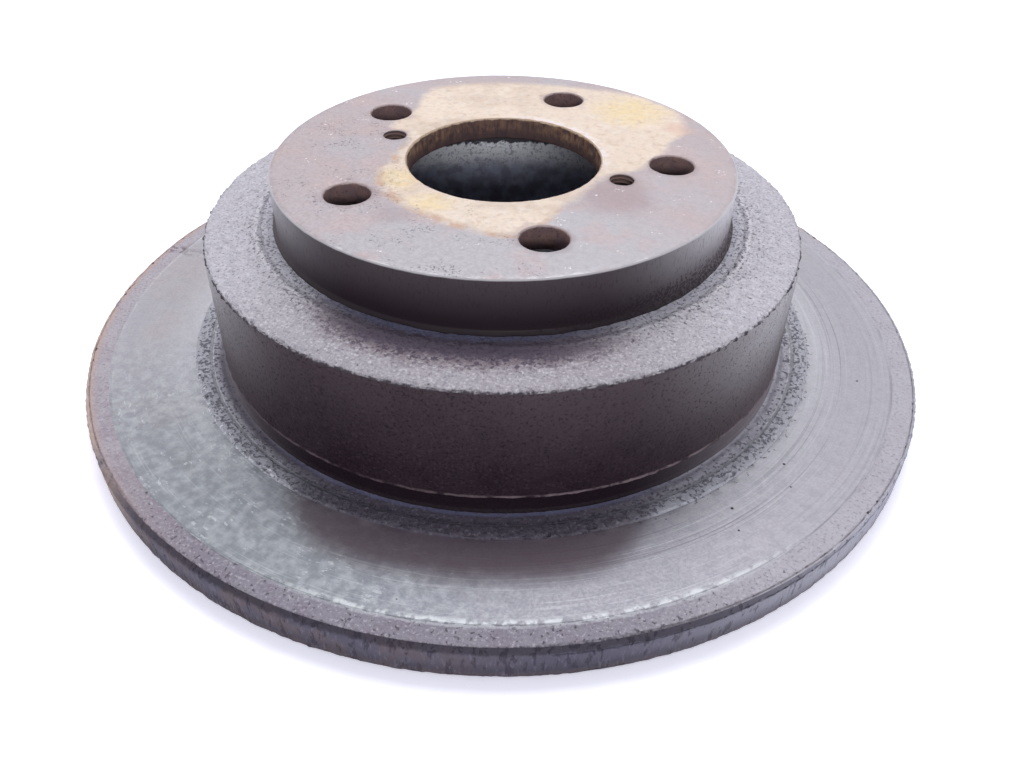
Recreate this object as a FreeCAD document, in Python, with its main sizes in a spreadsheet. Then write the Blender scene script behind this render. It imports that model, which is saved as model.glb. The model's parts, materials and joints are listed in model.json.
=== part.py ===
import FreeCAD, Part
import Sketcher
import math
import os

# A rear brake disc, cast and turned in one piece. The solid friction ring carries a
# stepped hat: a wide drum, whose bore is the parking brake's track, and above it a
# narrower crown, whose plate is clamped between the hub and the wheel.
# The inboard friction face lies in the plane Z = 0, and +Z runs along the axle
# towards the wheel. The two jacking holes lie on the X axis.

doc = FreeCAD.newDocument("BrakeDisc")
sheet = doc.addObject("Spreadsheet::Sheet", "Sizes")

# Name, value in millimetres, degrees or a count, and what it measures.
driving_sizes = [
    ("disc_diameter", 266.0, "outside of the friction ring"),
    ("ring_thickness", 10.0, "friction ring across its unworn lip"),
    ("rim_chamfer", 2.0, "corroded corner between the outboard lip and the rim"),
    ("rim_back_chamfer", 1.0, "corner between the inboard lip and the rim"),
    ("outer_lip_width", 7.0, "unswept lip at the rim, on both faces"),
    ("inner_land_width", 4.0, "unswept land inside the pad track, on both faces"),
    ("pad_wear", 0.4, "depth that the pads have worn into each face"),
    ("wear_slope_width", 0.6, "slope between a worn track and its lip or land"),
    ("relief_width", 5.0, "turned groove in the ring at the foot of the hat"),
    ("relief_depth", 0.8, "depth of that groove"),
    ("relief_bevel", 0.6, "corner where that groove turns up the hat"),
    ("undercut_height", 4.5, "turned band on the hat's wall, above the ring"),
    ("undercut_depth", 0.5, "depth of that band"),
    ("drum_diameter", 170.0, "bore that the parking brake shoes work in"),
    ("drum_wall", 6.0, "cast wall round that bore, at the ring"),
    ("drum_draft", 1.0, "degrees that the cast wall leans in"),
    ("mouth_chamfer", 1.5, "lead-in at the open end of the drum"),
    ("runout_width", 2.5, "tool groove at the inner end of the turned bore"),
    ("runout_depth", 0.6, "depth of the tool groove"),
    ("runout_setback", 5.0, "from the tool groove up to the web"),
    ("shoulder_height", 49.4, "outer edge of the shoulder above the inboard face"),
    ("shoulder_rise", 1.3, "height that the shoulder gains towards the crown"),
    ("shoulder_bevel", 0.9, "cast edge of the shoulder"),
    ("web_thickness", 6.5, "shoulder between the drum and the crown"),
    ("web_fillet", 4.0, "cast corner between the drum bore and the web"),
    ("crown_margin", 19.0, "stud circle to the outside of the crown"),
    ("crown_wall", 6.5, "side wall of the crown"),
    ("crown_bevel", 2.0, "cast corners inside the crown"),
    ("crown_edge", 0.4, "edge between the crown's side and the wheel face"),
    ("seat_width", 4.6, "turned seat round the foot of the crown"),
    ("seat_depth", 0.4, "depth of that seat in the cast shoulder"),
    ("seat_bevel", 0.9, "corner between that seat and the crown"),
    ("overall_height", 66.0, "inboard friction face to wheel face"),
    ("plate_thickness", 7.0, "hub face to wheel face"),
    ("bore_diameter", 58.0, "centre bore, round the hub's spigot"),
    ("bore_chamfer", 0.8, "edges of the centre bore"),
    ("stud_circle", 100.0, "circle of the wheel studs"),
    ("stud_count", 5, "wheel studs"),
    ("stud_hole", 13.0, "clearance hole of a 12 mm stud"),
    ("stud_hole_chamfer", 0.5, "edge of that hole at the wheel face"),
    ("jack_circle", 74.4, "circle of the jacking holes"),
    ("jack_count", 2, "jacking holes"),
    ("jack_hole", 6.8, "drilling for an M8 thread"),
    ("jack_hole_chamfer", 0.4, "edge of that hole at the wheel face"),
]
for row, (name, value, meaning) in enumerate(driving_sizes, start=1):
    sheet.set(f"A{row}", meaning)
    sheet.set(f"B{row}", str(value))
    sheet.setAlias(f"B{row}", name)
doc.recompute()

# Stations of the section, as expressions of the driving sizes: radii from the axle,
# then heights above the inboard face.
rim_radius = "Sizes.disc_diameter / 2"
drum_radius = "Sizes.drum_diameter / 2"
hat_radius = f"{drum_radius} + Sizes.drum_wall"
undercut_radius = f"{hat_radius} - Sizes.undercut_depth"
relief_radius = f"{hat_radius} + Sizes.relief_width"
track_inner_radius = f"{relief_radius} + Sizes.inner_land_width"
track_outer_radius = f"{rim_radius} - Sizes.outer_lip_width"
runout_radius = f"{drum_radius} + Sizes.runout_depth"
crown_radius = "Sizes.stud_circle / 2 + Sizes.crown_margin"
crown_inner_radius = f"{crown_radius} - Sizes.crown_wall"
seat_radius = f"{crown_radius} + Sizes.seat_width"
bore_radius = "Sizes.bore_diameter / 2"
axle = "0"

inboard_face = "0"
ring_face = "Sizes.ring_thickness"
relief_floor = f"{ring_face} - Sizes.relief_depth"
undercut_top = f"{ring_face} + Sizes.undercut_height"
shoulder_edge = "Sizes.shoulder_height"
shoulder_inner = f"{shoulder_edge} + Sizes.shoulder_rise"
seat_floor = f"{shoulder_inner} - Sizes.seat_depth"
web_edge = f"{shoulder_edge} - Sizes.web_thickness"
web_inner = f"{shoulder_inner} - Sizes.web_thickness"
runout_top = f"{web_edge} - Sizes.runout_setback"
runout_bottom = f"{runout_top} - Sizes.runout_width"
wheel_face = "Sizes.overall_height"
hub_face = f"{wheel_face} - Sizes.plate_thickness"
wall_height = f"({shoulder_edge} - ({undercut_top}))"
shoulder_radius = f"{hat_radius} - {wall_height} * tan(Sizes.drum_draft * 1 deg)"

# How far a cutter's section runs past the faces that it opens.
overrun = "1"
cutter_top = f"{shoulder_inner} + Sizes.seat_bevel + {overrun}"


def size_of(expression):
    # The number that an expression of the driving sizes has.
    result = sheet.evalExpression(expression)
    return float(getattr(result, "Value", result))


def place_sketch(body, name, role, height=None):
    # A sketch on one of the body's origin planes, raised along its normal.
    plane = next(f for f in body.Origin.OriginFeatures if f.Role == role)
    sketch = body.newObject("Sketcher::SketchObject", name)
    sketch.AttachmentSupport = (plane, [""])
    sketch.MapMode = "FlatFace"
    if height is not None:
        sketch.setExpression("AttachmentOffset.Base.z", height)
    return sketch


def pin_point(sketch, item, label, radius, height):
    # Ties a point, or the start of a line, to its station by two named distances,
    # or to an axis itself where the distance from it is nothing.
    for kind, across, suffix, expression in (
        ("DistanceX", -2, "r", radius),
        ("DistanceY", -1, "z", height),
    ):
        if expression == "0":
            sketch.addConstraint(Sketcher.Constraint("PointOnObject", item, 1, across))
            continue
        pin = Sketcher.Constraint(kind, -1, 1, item, 1, size_of(expression))
        sketch.renameConstraint(sketch.addConstraint(pin), f"{label}_{suffix}")
        sketch.setExpression(f"Constraints.{label}_{suffix}", expression)


def round_ends(corner, before, after, radius):
    # Where an arc of the radius touches the two sides of a corner, and its middle.
    back = (before - corner).normalize()
    ahead = (after - corner).normalize()
    half = back.getAngle(ahead) / 2
    inward = (back + ahead).normalize()
    reach = radius / math.tan(half)
    middle = corner + inward * (radius / math.sin(half) - radius)
    return corner + back * reach, middle, corner + ahead * reach


def draw_outline(sketch, stations):
    # A closed outline through stations, each a label, a radius, a height and, where
    # the corner there is rounded, the rounding's size.
    corners = [FreeCAD.Vector(size_of(r), size_of(z), 0) for _, r, z, *_ in stations]
    bends = []
    for place, (_, _, _, *rounding) in enumerate(stations):
        here, before = corners[place], corners[place - 1]
        after = corners[(place + 1) % len(corners)]
        if rounding:
            bends.append(round_ends(here, before, after, size_of(rounding[0])))
        else:
            bends.append((here, None, here))
    first = sketch.GeometryCount
    for (_, _, leave), (arrive, _, _) in zip(bends, bends[1:] + bends[:1]):
        sketch.addGeometry(Part.LineSegment(leave, arrive), False)
    for place, (label, radius, height, *rounding) in enumerate(stations):
        side_in = first + (place - 1) % len(stations)
        side_out = first + place
        if not rounding:
            joint = Sketcher.Constraint("Coincident", side_in, 2, side_out, 1)
            sketch.addConstraint(joint)
            pin_point(sketch, side_out, label, radius, height)
            continue
        arc = sketch.addGeometry(Part.Arc(*bends[place]), False)
        starts_here = sketch.getPoint(arc, 1).distanceToPoint(bends[place][0]) < 1e-6
        near, far = (1, 2) if starts_here else (2, 1)
        sketch.addConstraint(Sketcher.Constraint("Tangent", side_in, 2, arc, near))
        sketch.addConstraint(Sketcher.Constraint("Tangent", side_out, 1, arc, far))
        size = Sketcher.Constraint("Radius", arc, size_of(rounding[0]))
        sketch.renameConstraint(sketch.addConstraint(size), f"{label}_round")
        sketch.setExpression(f"Constraints.{label}_round", rounding[0])
        corner = sketch.addGeometry(Part.Point(corners[place]), True)
        sketch.addConstraint(Sketcher.Constraint("PointOnObject", corner, 1, side_in))
        sketch.addConstraint(Sketcher.Constraint("PointOnObject", corner, 1, side_out))
        pin_point(sketch, corner, label, radius, height)


def turn(body, kind, name, stations):
    # A revolved form or a turned cut about the axle.
    sketch = place_sketch(body, f"{name}Section", "XZ_Plane")
    draw_outline(sketch, stations)
    feature = body.newObject(kind, name)
    feature.Profile = sketch
    feature.ReferenceAxis = (sketch, ["V_Axis"])
    feature.Angle = 360
    doc.recompute()


def chamfer(body, name, size, stations):
    # A chamfer on the circles about the axle at the stations given.
    base = body.Tip
    edges = []
    for number, edge in enumerate(base.Shape.Edges, start=1):
        if not isinstance(edge.Curve, Part.Circle):
            continue
        centre = edge.Curve.Center
        for radius, height in stations:
            off_radius = abs(edge.Curve.Radius - size_of(radius))
            off_height = abs(centre.z - size_of(height))
            if math.hypot(centre.x, centre.y) + off_radius + off_height < 1e-4:
                edges.append(f"Edge{number}")
    if len(edges) != len(stations):
        raise RuntimeError(f"{name} finds {len(edges)} of its {len(stations)} edges")
    feature = body.newObject("PartDesign::Chamfer", name)
    feature.Base = (base, edges)
    feature.setExpression("Size", size)
    doc.recompute()


def drill(body, name, circle, angle, diameter, chamfer, count):
    # One chamfered hole through the plate from the wheel face, at an angle from
    # the X axis, repeated round the axle.
    sketch = place_sketch(body, f"{name}Place", "XY_Plane", wheel_face)
    reach = size_of(circle) / 2
    bearing = math.radians(size_of(angle))
    centre = FreeCAD.Vector(reach * math.cos(bearing), reach * math.sin(bearing), 0)
    rim = Part.Circle(centre, FreeCAD.Vector(0, 0, 1), size_of(diameter) / 2)
    mouth = sketch.addGeometry(rim, False)
    spoke = sketch.addGeometry(Part.LineSegment(FreeCAD.Vector(0, 0, 0), centre), True)
    sketch.addConstraint(Sketcher.Constraint("Coincident", spoke, 1, -1, 1))
    sketch.addConstraint(Sketcher.Constraint("Coincident", spoke, 2, mouth, 3))
    for label, constraint, expression in (
        ("reach", Sketcher.Constraint("Distance", spoke, reach), f"{circle} / 2"),
        ("bearing", Sketcher.Constraint("Angle", -1, 1, spoke, 1, bearing), f"{angle} * 1 deg"),
        ("mouth", Sketcher.Constraint("Diameter", mouth, size_of(diameter)), diameter),
    ):
        sketch.renameConstraint(sketch.addConstraint(constraint), label)
        sketch.setExpression(f"Constraints.{label}", expression)
    doc.recompute()
    hole = body.newObject("PartDesign::Hole", name)
    hole.Profile = sketch
    hole.DepthType = "ThroughAll"
    hole.setExpression("Diameter", diameter)
    hole.HoleCutType = "Countersink"
    hole.HoleCutCountersinkAngle = 90
    hole.setExpression("HoleCutDiameter", f"{diameter} + 2 * {chamfer}")
    doc.recompute()
    pattern = body.newObject("PartDesign::PolarPattern", f"{name}s")
    pattern.Originals = [hole]
    pattern.Axis = (sketch, ["N_Axis"])
    pattern.Angle = 360
    pattern.setExpression("Occurrences", count)
    body.Tip = pattern
    doc.recompute()


def pad_track(body, name, face, floor, outside):
    # The shallow band that the pads have worn into one friction face, down to the
    # floor, cut from outside that face.
    turn(body, "PartDesign::Groove", name, [
        ("land_edge", track_inner_radius, face),
        ("track_start", f"{track_inner_radius} + Sizes.wear_slope_width", floor),
        ("track_end", f"{track_outer_radius} - Sizes.wear_slope_width", floor),
        ("lip_edge", track_outer_radius, face),
        ("cutter_outer", track_outer_radius, outside),
        ("cutter_inner", track_inner_radius, outside),
    ])


def brake_disc():
    body = doc.addObject("PartDesign::Body", "BrakeDiscBody")
    body.Label = "brake_disc"

    # The casting's section, from the mouth of the drum: out across the ring, up the
    # two tiers of the hat, in to the axle and back down the inside.
    turn(body, "PartDesign::Revolution", "Casting", [
        ("drum_mouth", drum_radius, inboard_face),
        ("rim_bottom", rim_radius, inboard_face),
        ("rim_top", rim_radius, ring_face),
        ("hat_foot", hat_radius, ring_face),
        ("wall_foot", hat_radius, undercut_top),
        ("shoulder_side", shoulder_radius, f"{shoulder_edge} - Sizes.shoulder_bevel"),
        ("shoulder_top", f"{shoulder_radius} - Sizes.shoulder_bevel", shoulder_edge),
        ("crown_foot", f"{crown_radius} + Sizes.seat_bevel", shoulder_inner),
        ("crown_side", crown_radius, f"{shoulder_inner} + Sizes.seat_bevel"),
        ("crown_top", crown_radius, wheel_face),
        ("plate_top", axle, wheel_face),
        ("plate_bottom", axle, hub_face),
        ("hub_side", f"{crown_inner_radius} - Sizes.crown_bevel", hub_face),
        ("crown_ceiling", crown_inner_radius, f"{hub_face} - Sizes.crown_bevel"),
        ("crown_mouth", crown_inner_radius, f"{web_inner} + Sizes.crown_bevel"),
        ("web_inner", f"{crown_inner_radius} + Sizes.crown_bevel", web_inner),
        ("web_edge", drum_radius, web_edge, "Sizes.web_fillet"),
    ])

    # Turned seat round the foot of the crown.
    turn(body, "PartDesign::Groove", "CrownSeat", [
        ("seat_inner", f"{crown_radius} + Sizes.seat_bevel", seat_floor),
        ("seat_outer", seat_radius, seat_floor),
        ("cutter_outer", seat_radius, cutter_top),
        ("cutter_inner", crown_radius, cutter_top),
        ("seat_top", crown_radius, f"{seat_floor} + Sizes.seat_bevel"),
    ])

    # Relief groove in the ring and the undercut that it runs into on the hat.
    turn(body, "PartDesign::Groove", "HatRelief", [
        ("relief_side", undercut_radius, f"{relief_floor} + Sizes.relief_bevel"),
        ("relief_inner", f"{undercut_radius} + Sizes.relief_bevel", relief_floor),
        ("relief_outer", relief_radius, relief_floor),
        ("relief_lip", relief_radius, f"{ring_face} + {overrun}"),
        ("relief_clear", f"{hat_radius} + {overrun}", f"{ring_face} + {overrun}"),
        ("undercut_clear", f"{hat_radius} + {overrun}", undercut_top),
        ("undercut_lip", undercut_radius, undercut_top),
    ])

    # Tool groove where the turned bore of the drum stops below the web.
    turn(body, "PartDesign::Groove", "DrumRunout", [
        ("runout_bottom_inner", f"{drum_radius} - {overrun}", runout_bottom),
        ("runout_bottom_outer", runout_radius, runout_bottom),
        ("runout_top_outer", runout_radius, runout_top),
        ("runout_top_inner", f"{drum_radius} - {overrun}", runout_top),
    ])

    # Pad tracks worn into both friction faces.
    pad_track(body, "OutboardTrack", ring_face, f"{ring_face} - Sizes.pad_wear",
              f"{ring_face} + {overrun}")
    pad_track(body, "InboardTrack", inboard_face, "Sizes.pad_wear", f"-{overrun}")

    # Centre bore.
    turn(body, "PartDesign::Groove", "CentreBore", [
        ("bore_bottom_axle", axle, f"{hub_face} - {overrun}"),
        ("bore_bottom", bore_radius, f"{hub_face} - {overrun}"),
        ("bore_top", bore_radius, f"{wheel_face} + {overrun}"),
        ("bore_top_axle", axle, f"{wheel_face} + {overrun}"),
    ])

    # Turned edges.
    bore_edges = [(bore_radius, wheel_face), (bore_radius, hub_face)]
    chamfer(body, "BoreEdges", "Sizes.bore_chamfer", bore_edges)
    chamfer(body, "CrownEdge", "Sizes.crown_edge", [(crown_radius, wheel_face)])
    chamfer(body, "RimEdge", "Sizes.rim_chamfer", [(rim_radius, ring_face)])
    chamfer(body, "RimBackEdge", "Sizes.rim_back_chamfer", [(rim_radius, inboard_face)])
    chamfer(body, "DrumMouth", "Sizes.mouth_chamfer", [(drum_radius, inboard_face)])

    # Wheel stud holes, one of them on the Y axis, and the jacking holes on the X
    # axis, half a space off the line through two stud holes.
    drill(body, "StudHole", "Sizes.stud_circle", "90", "Sizes.stud_hole",
          "Sizes.stud_hole_chamfer", "Sizes.stud_count")
    drill(body, "JackHole", "Sizes.jack_circle", "0", "Sizes.jack_hole",
          "Sizes.jack_hole_chamfer", "Sizes.jack_count")
    return body


def check(body):
    # Every object has to have computed, and the piece has to be one sound solid.
    failed = [o.Name for o in doc.Objects if {"Invalid", "Error"} & set(o.State)]
    if failed:
        raise RuntimeError(f"not computed: {failed}")
    if body.Shape.isNull() or not body.Shape.isValid() or len(body.Shape.Solids) != 1:
        raise RuntimeError(f"{body.Label} is not one valid solid")


disc = brake_disc()
check(disc)
os.makedirs("parts", exist_ok=True)
disc.Shape.exportStep(f"parts/{disc.Label}.step")
print(f"{disc.Label}: volume {disc.Shape.Volume / 1000:.1f} cm3, "
      f"box {disc.Shape.BoundBox.XLength:.2f} x {disc.Shape.BoundBox.YLength:.2f} "
      f"x {disc.Shape.BoundBox.ZLength:.2f} mm, {len(disc.Shape.Faces)} faces")
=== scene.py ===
import bpy
import json
import math
import numpy as np
from mathutils import Matrix, Vector, noise
from mathutils.geometry import delaunay_2d_cdt


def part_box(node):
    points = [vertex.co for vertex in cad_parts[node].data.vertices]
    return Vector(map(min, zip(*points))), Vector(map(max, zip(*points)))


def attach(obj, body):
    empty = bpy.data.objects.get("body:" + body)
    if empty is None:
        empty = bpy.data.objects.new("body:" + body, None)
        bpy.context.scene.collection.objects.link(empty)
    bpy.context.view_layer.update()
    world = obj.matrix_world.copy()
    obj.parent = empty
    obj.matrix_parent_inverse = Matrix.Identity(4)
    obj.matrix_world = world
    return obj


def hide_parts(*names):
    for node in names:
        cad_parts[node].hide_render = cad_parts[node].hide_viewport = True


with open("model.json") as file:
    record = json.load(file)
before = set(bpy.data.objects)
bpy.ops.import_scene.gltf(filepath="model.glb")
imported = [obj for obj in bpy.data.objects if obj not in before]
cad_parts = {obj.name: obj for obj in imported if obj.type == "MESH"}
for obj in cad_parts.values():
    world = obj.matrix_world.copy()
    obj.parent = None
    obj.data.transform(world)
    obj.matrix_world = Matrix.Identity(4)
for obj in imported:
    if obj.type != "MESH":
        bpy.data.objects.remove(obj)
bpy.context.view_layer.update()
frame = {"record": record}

# A worn rear brake disc with a stepped hat, lying on its inboard face, hat up.
# The frame holds the machined solid. One dense casting stands for it here, with its
# cast skin, ragged rusty edges and threads as real surface. Lengths are in
# millimetres up to the last step of each piece.

mm = 0.001
mounts = {mount["name"]: mount for mount in frame["record"]["mounts"]}
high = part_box("brake_disc")[1]
print("frame loaded:", len(mounts), "mounts")


def linearColour(text):
    # A colour written as it shows on screen, turned into linear values
    parts = [int(text[i:i + 2], 16) / 255 for i in (0, 2, 4)]
    return [p / 12.92 if p <= 0.04045 else ((p + 0.055) / 1.055) ** 2.4 for p in parts] + [1.0]


class Net:
    # Short ways to add nodes to a material or a group. A value given to a socket is a
    # number, a vector, a colour as text or by its name in the look, or another node's output.

    def __init__(self, tree, look=None):
        self.tree = tree
        self.look = look or {}

    def feed(self, socket, value):
        if isinstance(value, bpy.types.NodeSocket):
            self.tree.links.new(value, socket)
        elif isinstance(value, str):
            socket.default_value = linearColour(self.look.get(value, value))
        else:
            socket.default_value = value

    def node(self, kind, values=None, **settings):
        made = self.tree.nodes.new("ShaderNode" + kind)
        for name, setting in settings.items():
            setattr(made, name, setting)
        for name, value in (values or {}).items():
            self.feed(made.inputs[name], value)
        return made

    def calc(self, operation, a, b, clamp=False):
        return self.node("Math", {0: a, 1: b}, operation=operation, use_clamp=clamp).outputs[0]

    def times(self, *values):
        total = values[0]
        for value in values[1:]:
            total = self.calc("MULTIPLY", total, value)
        return total

    def add(self, *values):
        # Values given together in brackets are multiplied first
        values = [self.times(*value) if isinstance(value, tuple) else value for value in values]
        total = values[0]
        for value in values[1:]:
            total = self.calc("ADD", total, value)
        return total

    def either(self, a, b):
        return self.calc("MAXIMUM", a, b)

    def flip(self, a):
        return self.calc("SUBTRACT", 1.0, a, clamp=True)

    def fit(self, value, fromLow, fromHigh, toLow=0.0, toHigh=1.0):
        # Eases from toLow to toHigh as value goes from fromLow to fromHigh
        given = {"Value": value, "From Min": fromLow, "From Max": fromHigh,
                 "To Min": toLow, "To Max": toHigh}
        return self.node("MapRange", given, interpolation_type="SMOOTHSTEP").outputs[0]

    def band(self, value, middle, half, soft):
        # 1 within half of the middle, 0 beyond half + soft
        away = self.calc("ABSOLUTE", self.calc("SUBTRACT", value, middle), 0.0)
        return self.fit(away, half + soft, half)

    def blend(self, share, a, b):
        return self.node("Mix", {0: share, 2: a, 3: b}, data_type="FLOAT").outputs[0]

    def tint(self, share, a, b):
        return self.node("Mix", {0: share, 6: a, 7: b}, data_type="RGBA").outputs[2]

    def layers(self, colour, *coats):
        # Lays coats over a colour, each the masks that it is thinned by and its own colour
        for *masks, coat in coats:
            colour = self.tint(self.times(*masks), colour, coat)
        return colour

    def scaled(self, vector, by):
        return self.node("VectorMath", {0: vector, "Scale": by}, operation="SCALE").outputs[0]

    def stretched(self, vector, by):
        return self.node("VectorMath", {0: vector, 1: by}, operation="MULTIPLY").outputs[0]

    def noise(self, vector, scale, detail=3.0, roughness=0.5):
        given = {"Vector": vector, "Scale": scale, "Detail": detail, "Roughness": roughness}
        return self.node("TexNoise", given).outputs["Fac"]

    def sector(self, direction, angle, half, soft):
        # 1 within half degrees of the angle round the axle, 0 beyond half + soft
        facing = (math.cos(math.radians(angle)), math.sin(math.radians(angle)), 0.0)
        dot = self.node("VectorMath", {0: direction, 1: facing}, operation="DOT_PRODUCT").outputs["Value"]
        far = math.cos(math.radians(min(180, half + soft)))
        return self.fit(dot, far, math.cos(math.radians(half)))

    def side(self, name, turn, half, soft):
        # The same for a material, round from one of the sides
        return self.sector(self.direction, sides[name] + turn, half, soft)

    def spot(self, place, middle, inner, outer):
        # 1 within inner of an upright line through middle, 0 beyond outer
        given = {0: self.stretched(place, (1, 1, 0)), 1: (*middle, 0.0)}
        away = self.node("VectorMath", given, operation="DISTANCE").outputs["Value"]
        return self.fit(away, outer, inner)

    def curve(self, value, points):
        # A smooth curve through the points, both coordinates from 0 to 1
        made = self.node("FloatCurve", {"Value": value})
        drawn = made.mapping.curves[0]
        for x, y in points[1:-1]:
            drawn.points.new(x, y)
        drawn.points[0].location = points[0]
        drawn.points[-1].location = points[-1]
        made.mapping.update()
        return made.outputs[0]

    def use(self, group, *values):
        # A group's only output, or all of them by name
        made = self.node("Group", node_tree=bpy.data.node_groups[group])
        for socket, value in zip(made.inputs, values):
            self.feed(socket, value)
        return made.outputs if len(made.outputs) > 1 else made.outputs[0]


# The sockets of the groups, named by what they carry. All others carry one value
socketKinds = {"Place": "Vector", "Direction": "Vector", "Path": "Vector", "Colour": "Color"}


def startGroup(name, inputs, outputs):
    # A shader node group: its net, what it is given and what it puts out
    tree = bpy.data.node_groups.new(name, "ShaderNodeTree")
    for way, labels in (("INPUT", inputs), ("OUTPUT", outputs)):
        for label in labels.split():
            kind = "NodeSocket" + socketKinds.get(label, "Float")
            tree.interface.new_socket(label, in_out=way, socket_type=kind)
    given = tree.nodes.new("NodeGroupInput").outputs
    return Net(tree), given, tree.nodes.new("NodeGroupOutput").inputs


rust = {"deep": "3f2a26", "mid": "7d5342", "pale": "b98f72"}


def makeGroups():
    # Where a point lies on the disc: place in millimetres, distance from the axle,
    # height over the floor and direction from the axle
    net, given, result = startGroup("axlePosition", "", "Place Radius Height Direction")
    objectPlace = net.node("TexCoord").outputs["Object"]
    place = net.scaled(objectPlace, 1 / mm)
    flat = net.stretched(place, (1, 1, 0))
    length = net.node("VectorMath", {0: flat}, operation="LENGTH").outputs["Value"]
    net.feed(result["Place"], place)
    net.feed(result["Radius"], length)
    net.feed(result["Height"], net.node("SeparateXYZ", {0: place}).outputs["Z"])
    net.feed(result["Direction"], net.node("VectorMath", {0: flat}, operation="NORMALIZE").outputs[0])

    # Soft blotches of a given size, as a mask between two levels of the noise
    net, given, result = startGroup("cloudy", "Place Size Low High", "Mask")
    cloud = net.noise(given["Place"], net.calc("DIVIDE", 1.0, given["Size"]), 4.0, 0.55)
    net.feed(result["Mask"], net.fit(cloud, given["Low"], given["High"]))

    # Pebbled skin of a sand casting: its height, dark hollows and pale grains
    net, given, result = startGroup("castGrain", "Place Size", "Height Hollows Grains")
    fineness = net.calc("DIVIDE", 1.0, given["Size"])
    rough = net.noise(given["Place"], fineness, 4.0, 0.62)
    pebble = net.node("TexVoronoi", {"Vector": given["Place"], "Scale": fineness, "Smoothness": 0.6},
                      feature="SMOOTH_F1").outputs["Distance"]
    net.feed(result["Height"], net.calc("SUBTRACT", rough, net.times(pebble, 0.45)))
    net.feed(result["Hollows"], net.fit(rough, 0.46, 0.34))
    net.feed(result["Grains"], net.fit(rough, 0.54, 0.66))

    # Coordinates drawn out round the axle, for marks left by turning or by the pads.
    # Across is the coordinate that the marks follow each other along
    net, given, result = startGroup("roundAxle", "Direction Across Pitch Length", "Path")
    swept = net.scaled(given["Direction"], net.calc("DIVIDE", 100.0, given["Length"]))
    parts = net.node("SeparateXYZ", {0: swept}).outputs
    across = net.calc("DIVIDE", given["Across"], given["Pitch"])
    path = net.node("CombineXYZ", {0: parts["X"], 1: parts["Y"], 2: across}).outputs[0]
    net.feed(result["Path"], path)

    # Fine lines along such coordinates
    net, given, result = startGroup("turnedLines", "Path", "Height Dark Light")
    line = net.noise(given["Path"], 1.0, 2.0, 0.6)
    net.feed(result["Height"], line)
    net.feed(result["Dark"], net.fit(line, 0.44, 0.30))
    net.feed(result["Light"], net.fit(line, 0.56, 0.70))

    # Scattered specks, of which only a share of the cells has one
    net, given, result = startGroup("specks", "Place Size Share", "Mask")
    cellScale = net.calc("DIVIDE", 0.5, given["Size"])
    cells = net.node("TexVoronoi", {"Vector": given["Place"], "Scale": cellScale}).outputs
    pick = net.node("SeparateColor", {0: cells["Color"]}).outputs
    chosen = net.calc("LESS_THAN", pick[0], given["Share"])
    reach = net.blend(pick[1], 0.14, 0.32)
    spot = net.fit(net.calc("SUBTRACT", reach, cells["Distance"]), 0.0, 0.1)
    net.feed(result["Mask"], net.times(chosen, spot))

    # Irregular specks that cover about the given share, which may vary from place to place
    net, given, result = startGroup("speckled", "Place Size Share", "Mask")
    speck = net.noise(given["Place"], net.calc("DIVIDE", 1.0, given["Size"]), 4.0, 0.6)
    level = net.add(0.22, (given["Share"], 0.5))
    above = net.calc("SUBTRACT", speck, level)
    net.feed(result["Mask"], net.fit(above, 0.03, -0.03))

    # A coordinate shifted by noise, so that the edge of a band set by it is ragged
    net, given, result = startGroup("ragged", "Value Place Size Reach", "Value")
    shift = net.noise(given["Place"], net.calc("DIVIDE", 1.0, given["Size"]), 5.0, 0.65)
    shift = net.times(net.calc("SUBTRACT", shift, 0.5), given["Reach"], 4.0)
    net.feed(result["Value"], net.add(given["Value"], shift))

    # A place shifted by noise, so that a patch laid out by it has a natural outline
    net, given, result = startGroup("wobble", "Place Size Reach", "Place")
    scale = net.calc("DIVIDE", 1.0, given["Size"])
    swing = net.node("TexNoise", {"Vector": given["Place"], "Scale": scale, "Detail": 4.0}).outputs["Color"]
    swing = net.node("VectorMath", {0: swing, 1: (0.5, 0.5, 0.5)}, operation="SUBTRACT").outputs[0]
    swing = net.scaled(swing, net.times(given["Reach"], 4.0))
    net.feed(result["Place"], net.node("VectorMath", {0: given["Place"], 1: swing}).outputs[0])

    # Painted shadow of the hat on the ring round its foot, reaching out furthest in front
    net, given, result = startGroup("footShade", "Place Radius Direction", "Mask")
    wandering = net.use("ragged", given["Radius"], given["Place"], 6.0, 0.8)
    middle = net.sector(given["Direction"], sides["front"] - 5, 2, 35)
    reach = net.fit(middle, 0.0, 1.0, 95.0, 113.0)
    near = net.fit(net.calc("SUBTRACT", wandering, reach), 4.5, -4.5)
    net.feed(result["Mask"], net.times(near, net.sector(given["Direction"], sides["front"] - 5, 12, 34)))

    # A thin smudge that crosses the left of the ring
    net, given, result = startGroup("smudge", "Place Direction", "Mask")
    loose = net.use("wobble", given["Place"], 5.0, 0.8)
    bearing = net.node("VectorMath", {0: net.stretched(loose, (1, 1, 0))}, operation="NORMALIZE").outputs[0]
    patches = net.use("speckled", given["Place"], 1.5, 0.55)
    net.feed(result["Mask"], net.times(net.sector(bearing, sides["left"] - 17, 0.3, 1.3), patches))

    # Where the rim and the lip are rusted to a pale tan
    net, given, result = startGroup("tanRust", "Place Direction", "Mask")
    where = net.either(net.sector(given["Direction"], sides["left"] + 5, 15, 30),
                       net.sector(given["Direction"], sides["right"] + 38, 7, 12))
    cloud = net.use("cloudy", given["Place"], 7.0, 0.32, 0.5)
    net.feed(result["Mask"], net.times(where, cloud))

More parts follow.
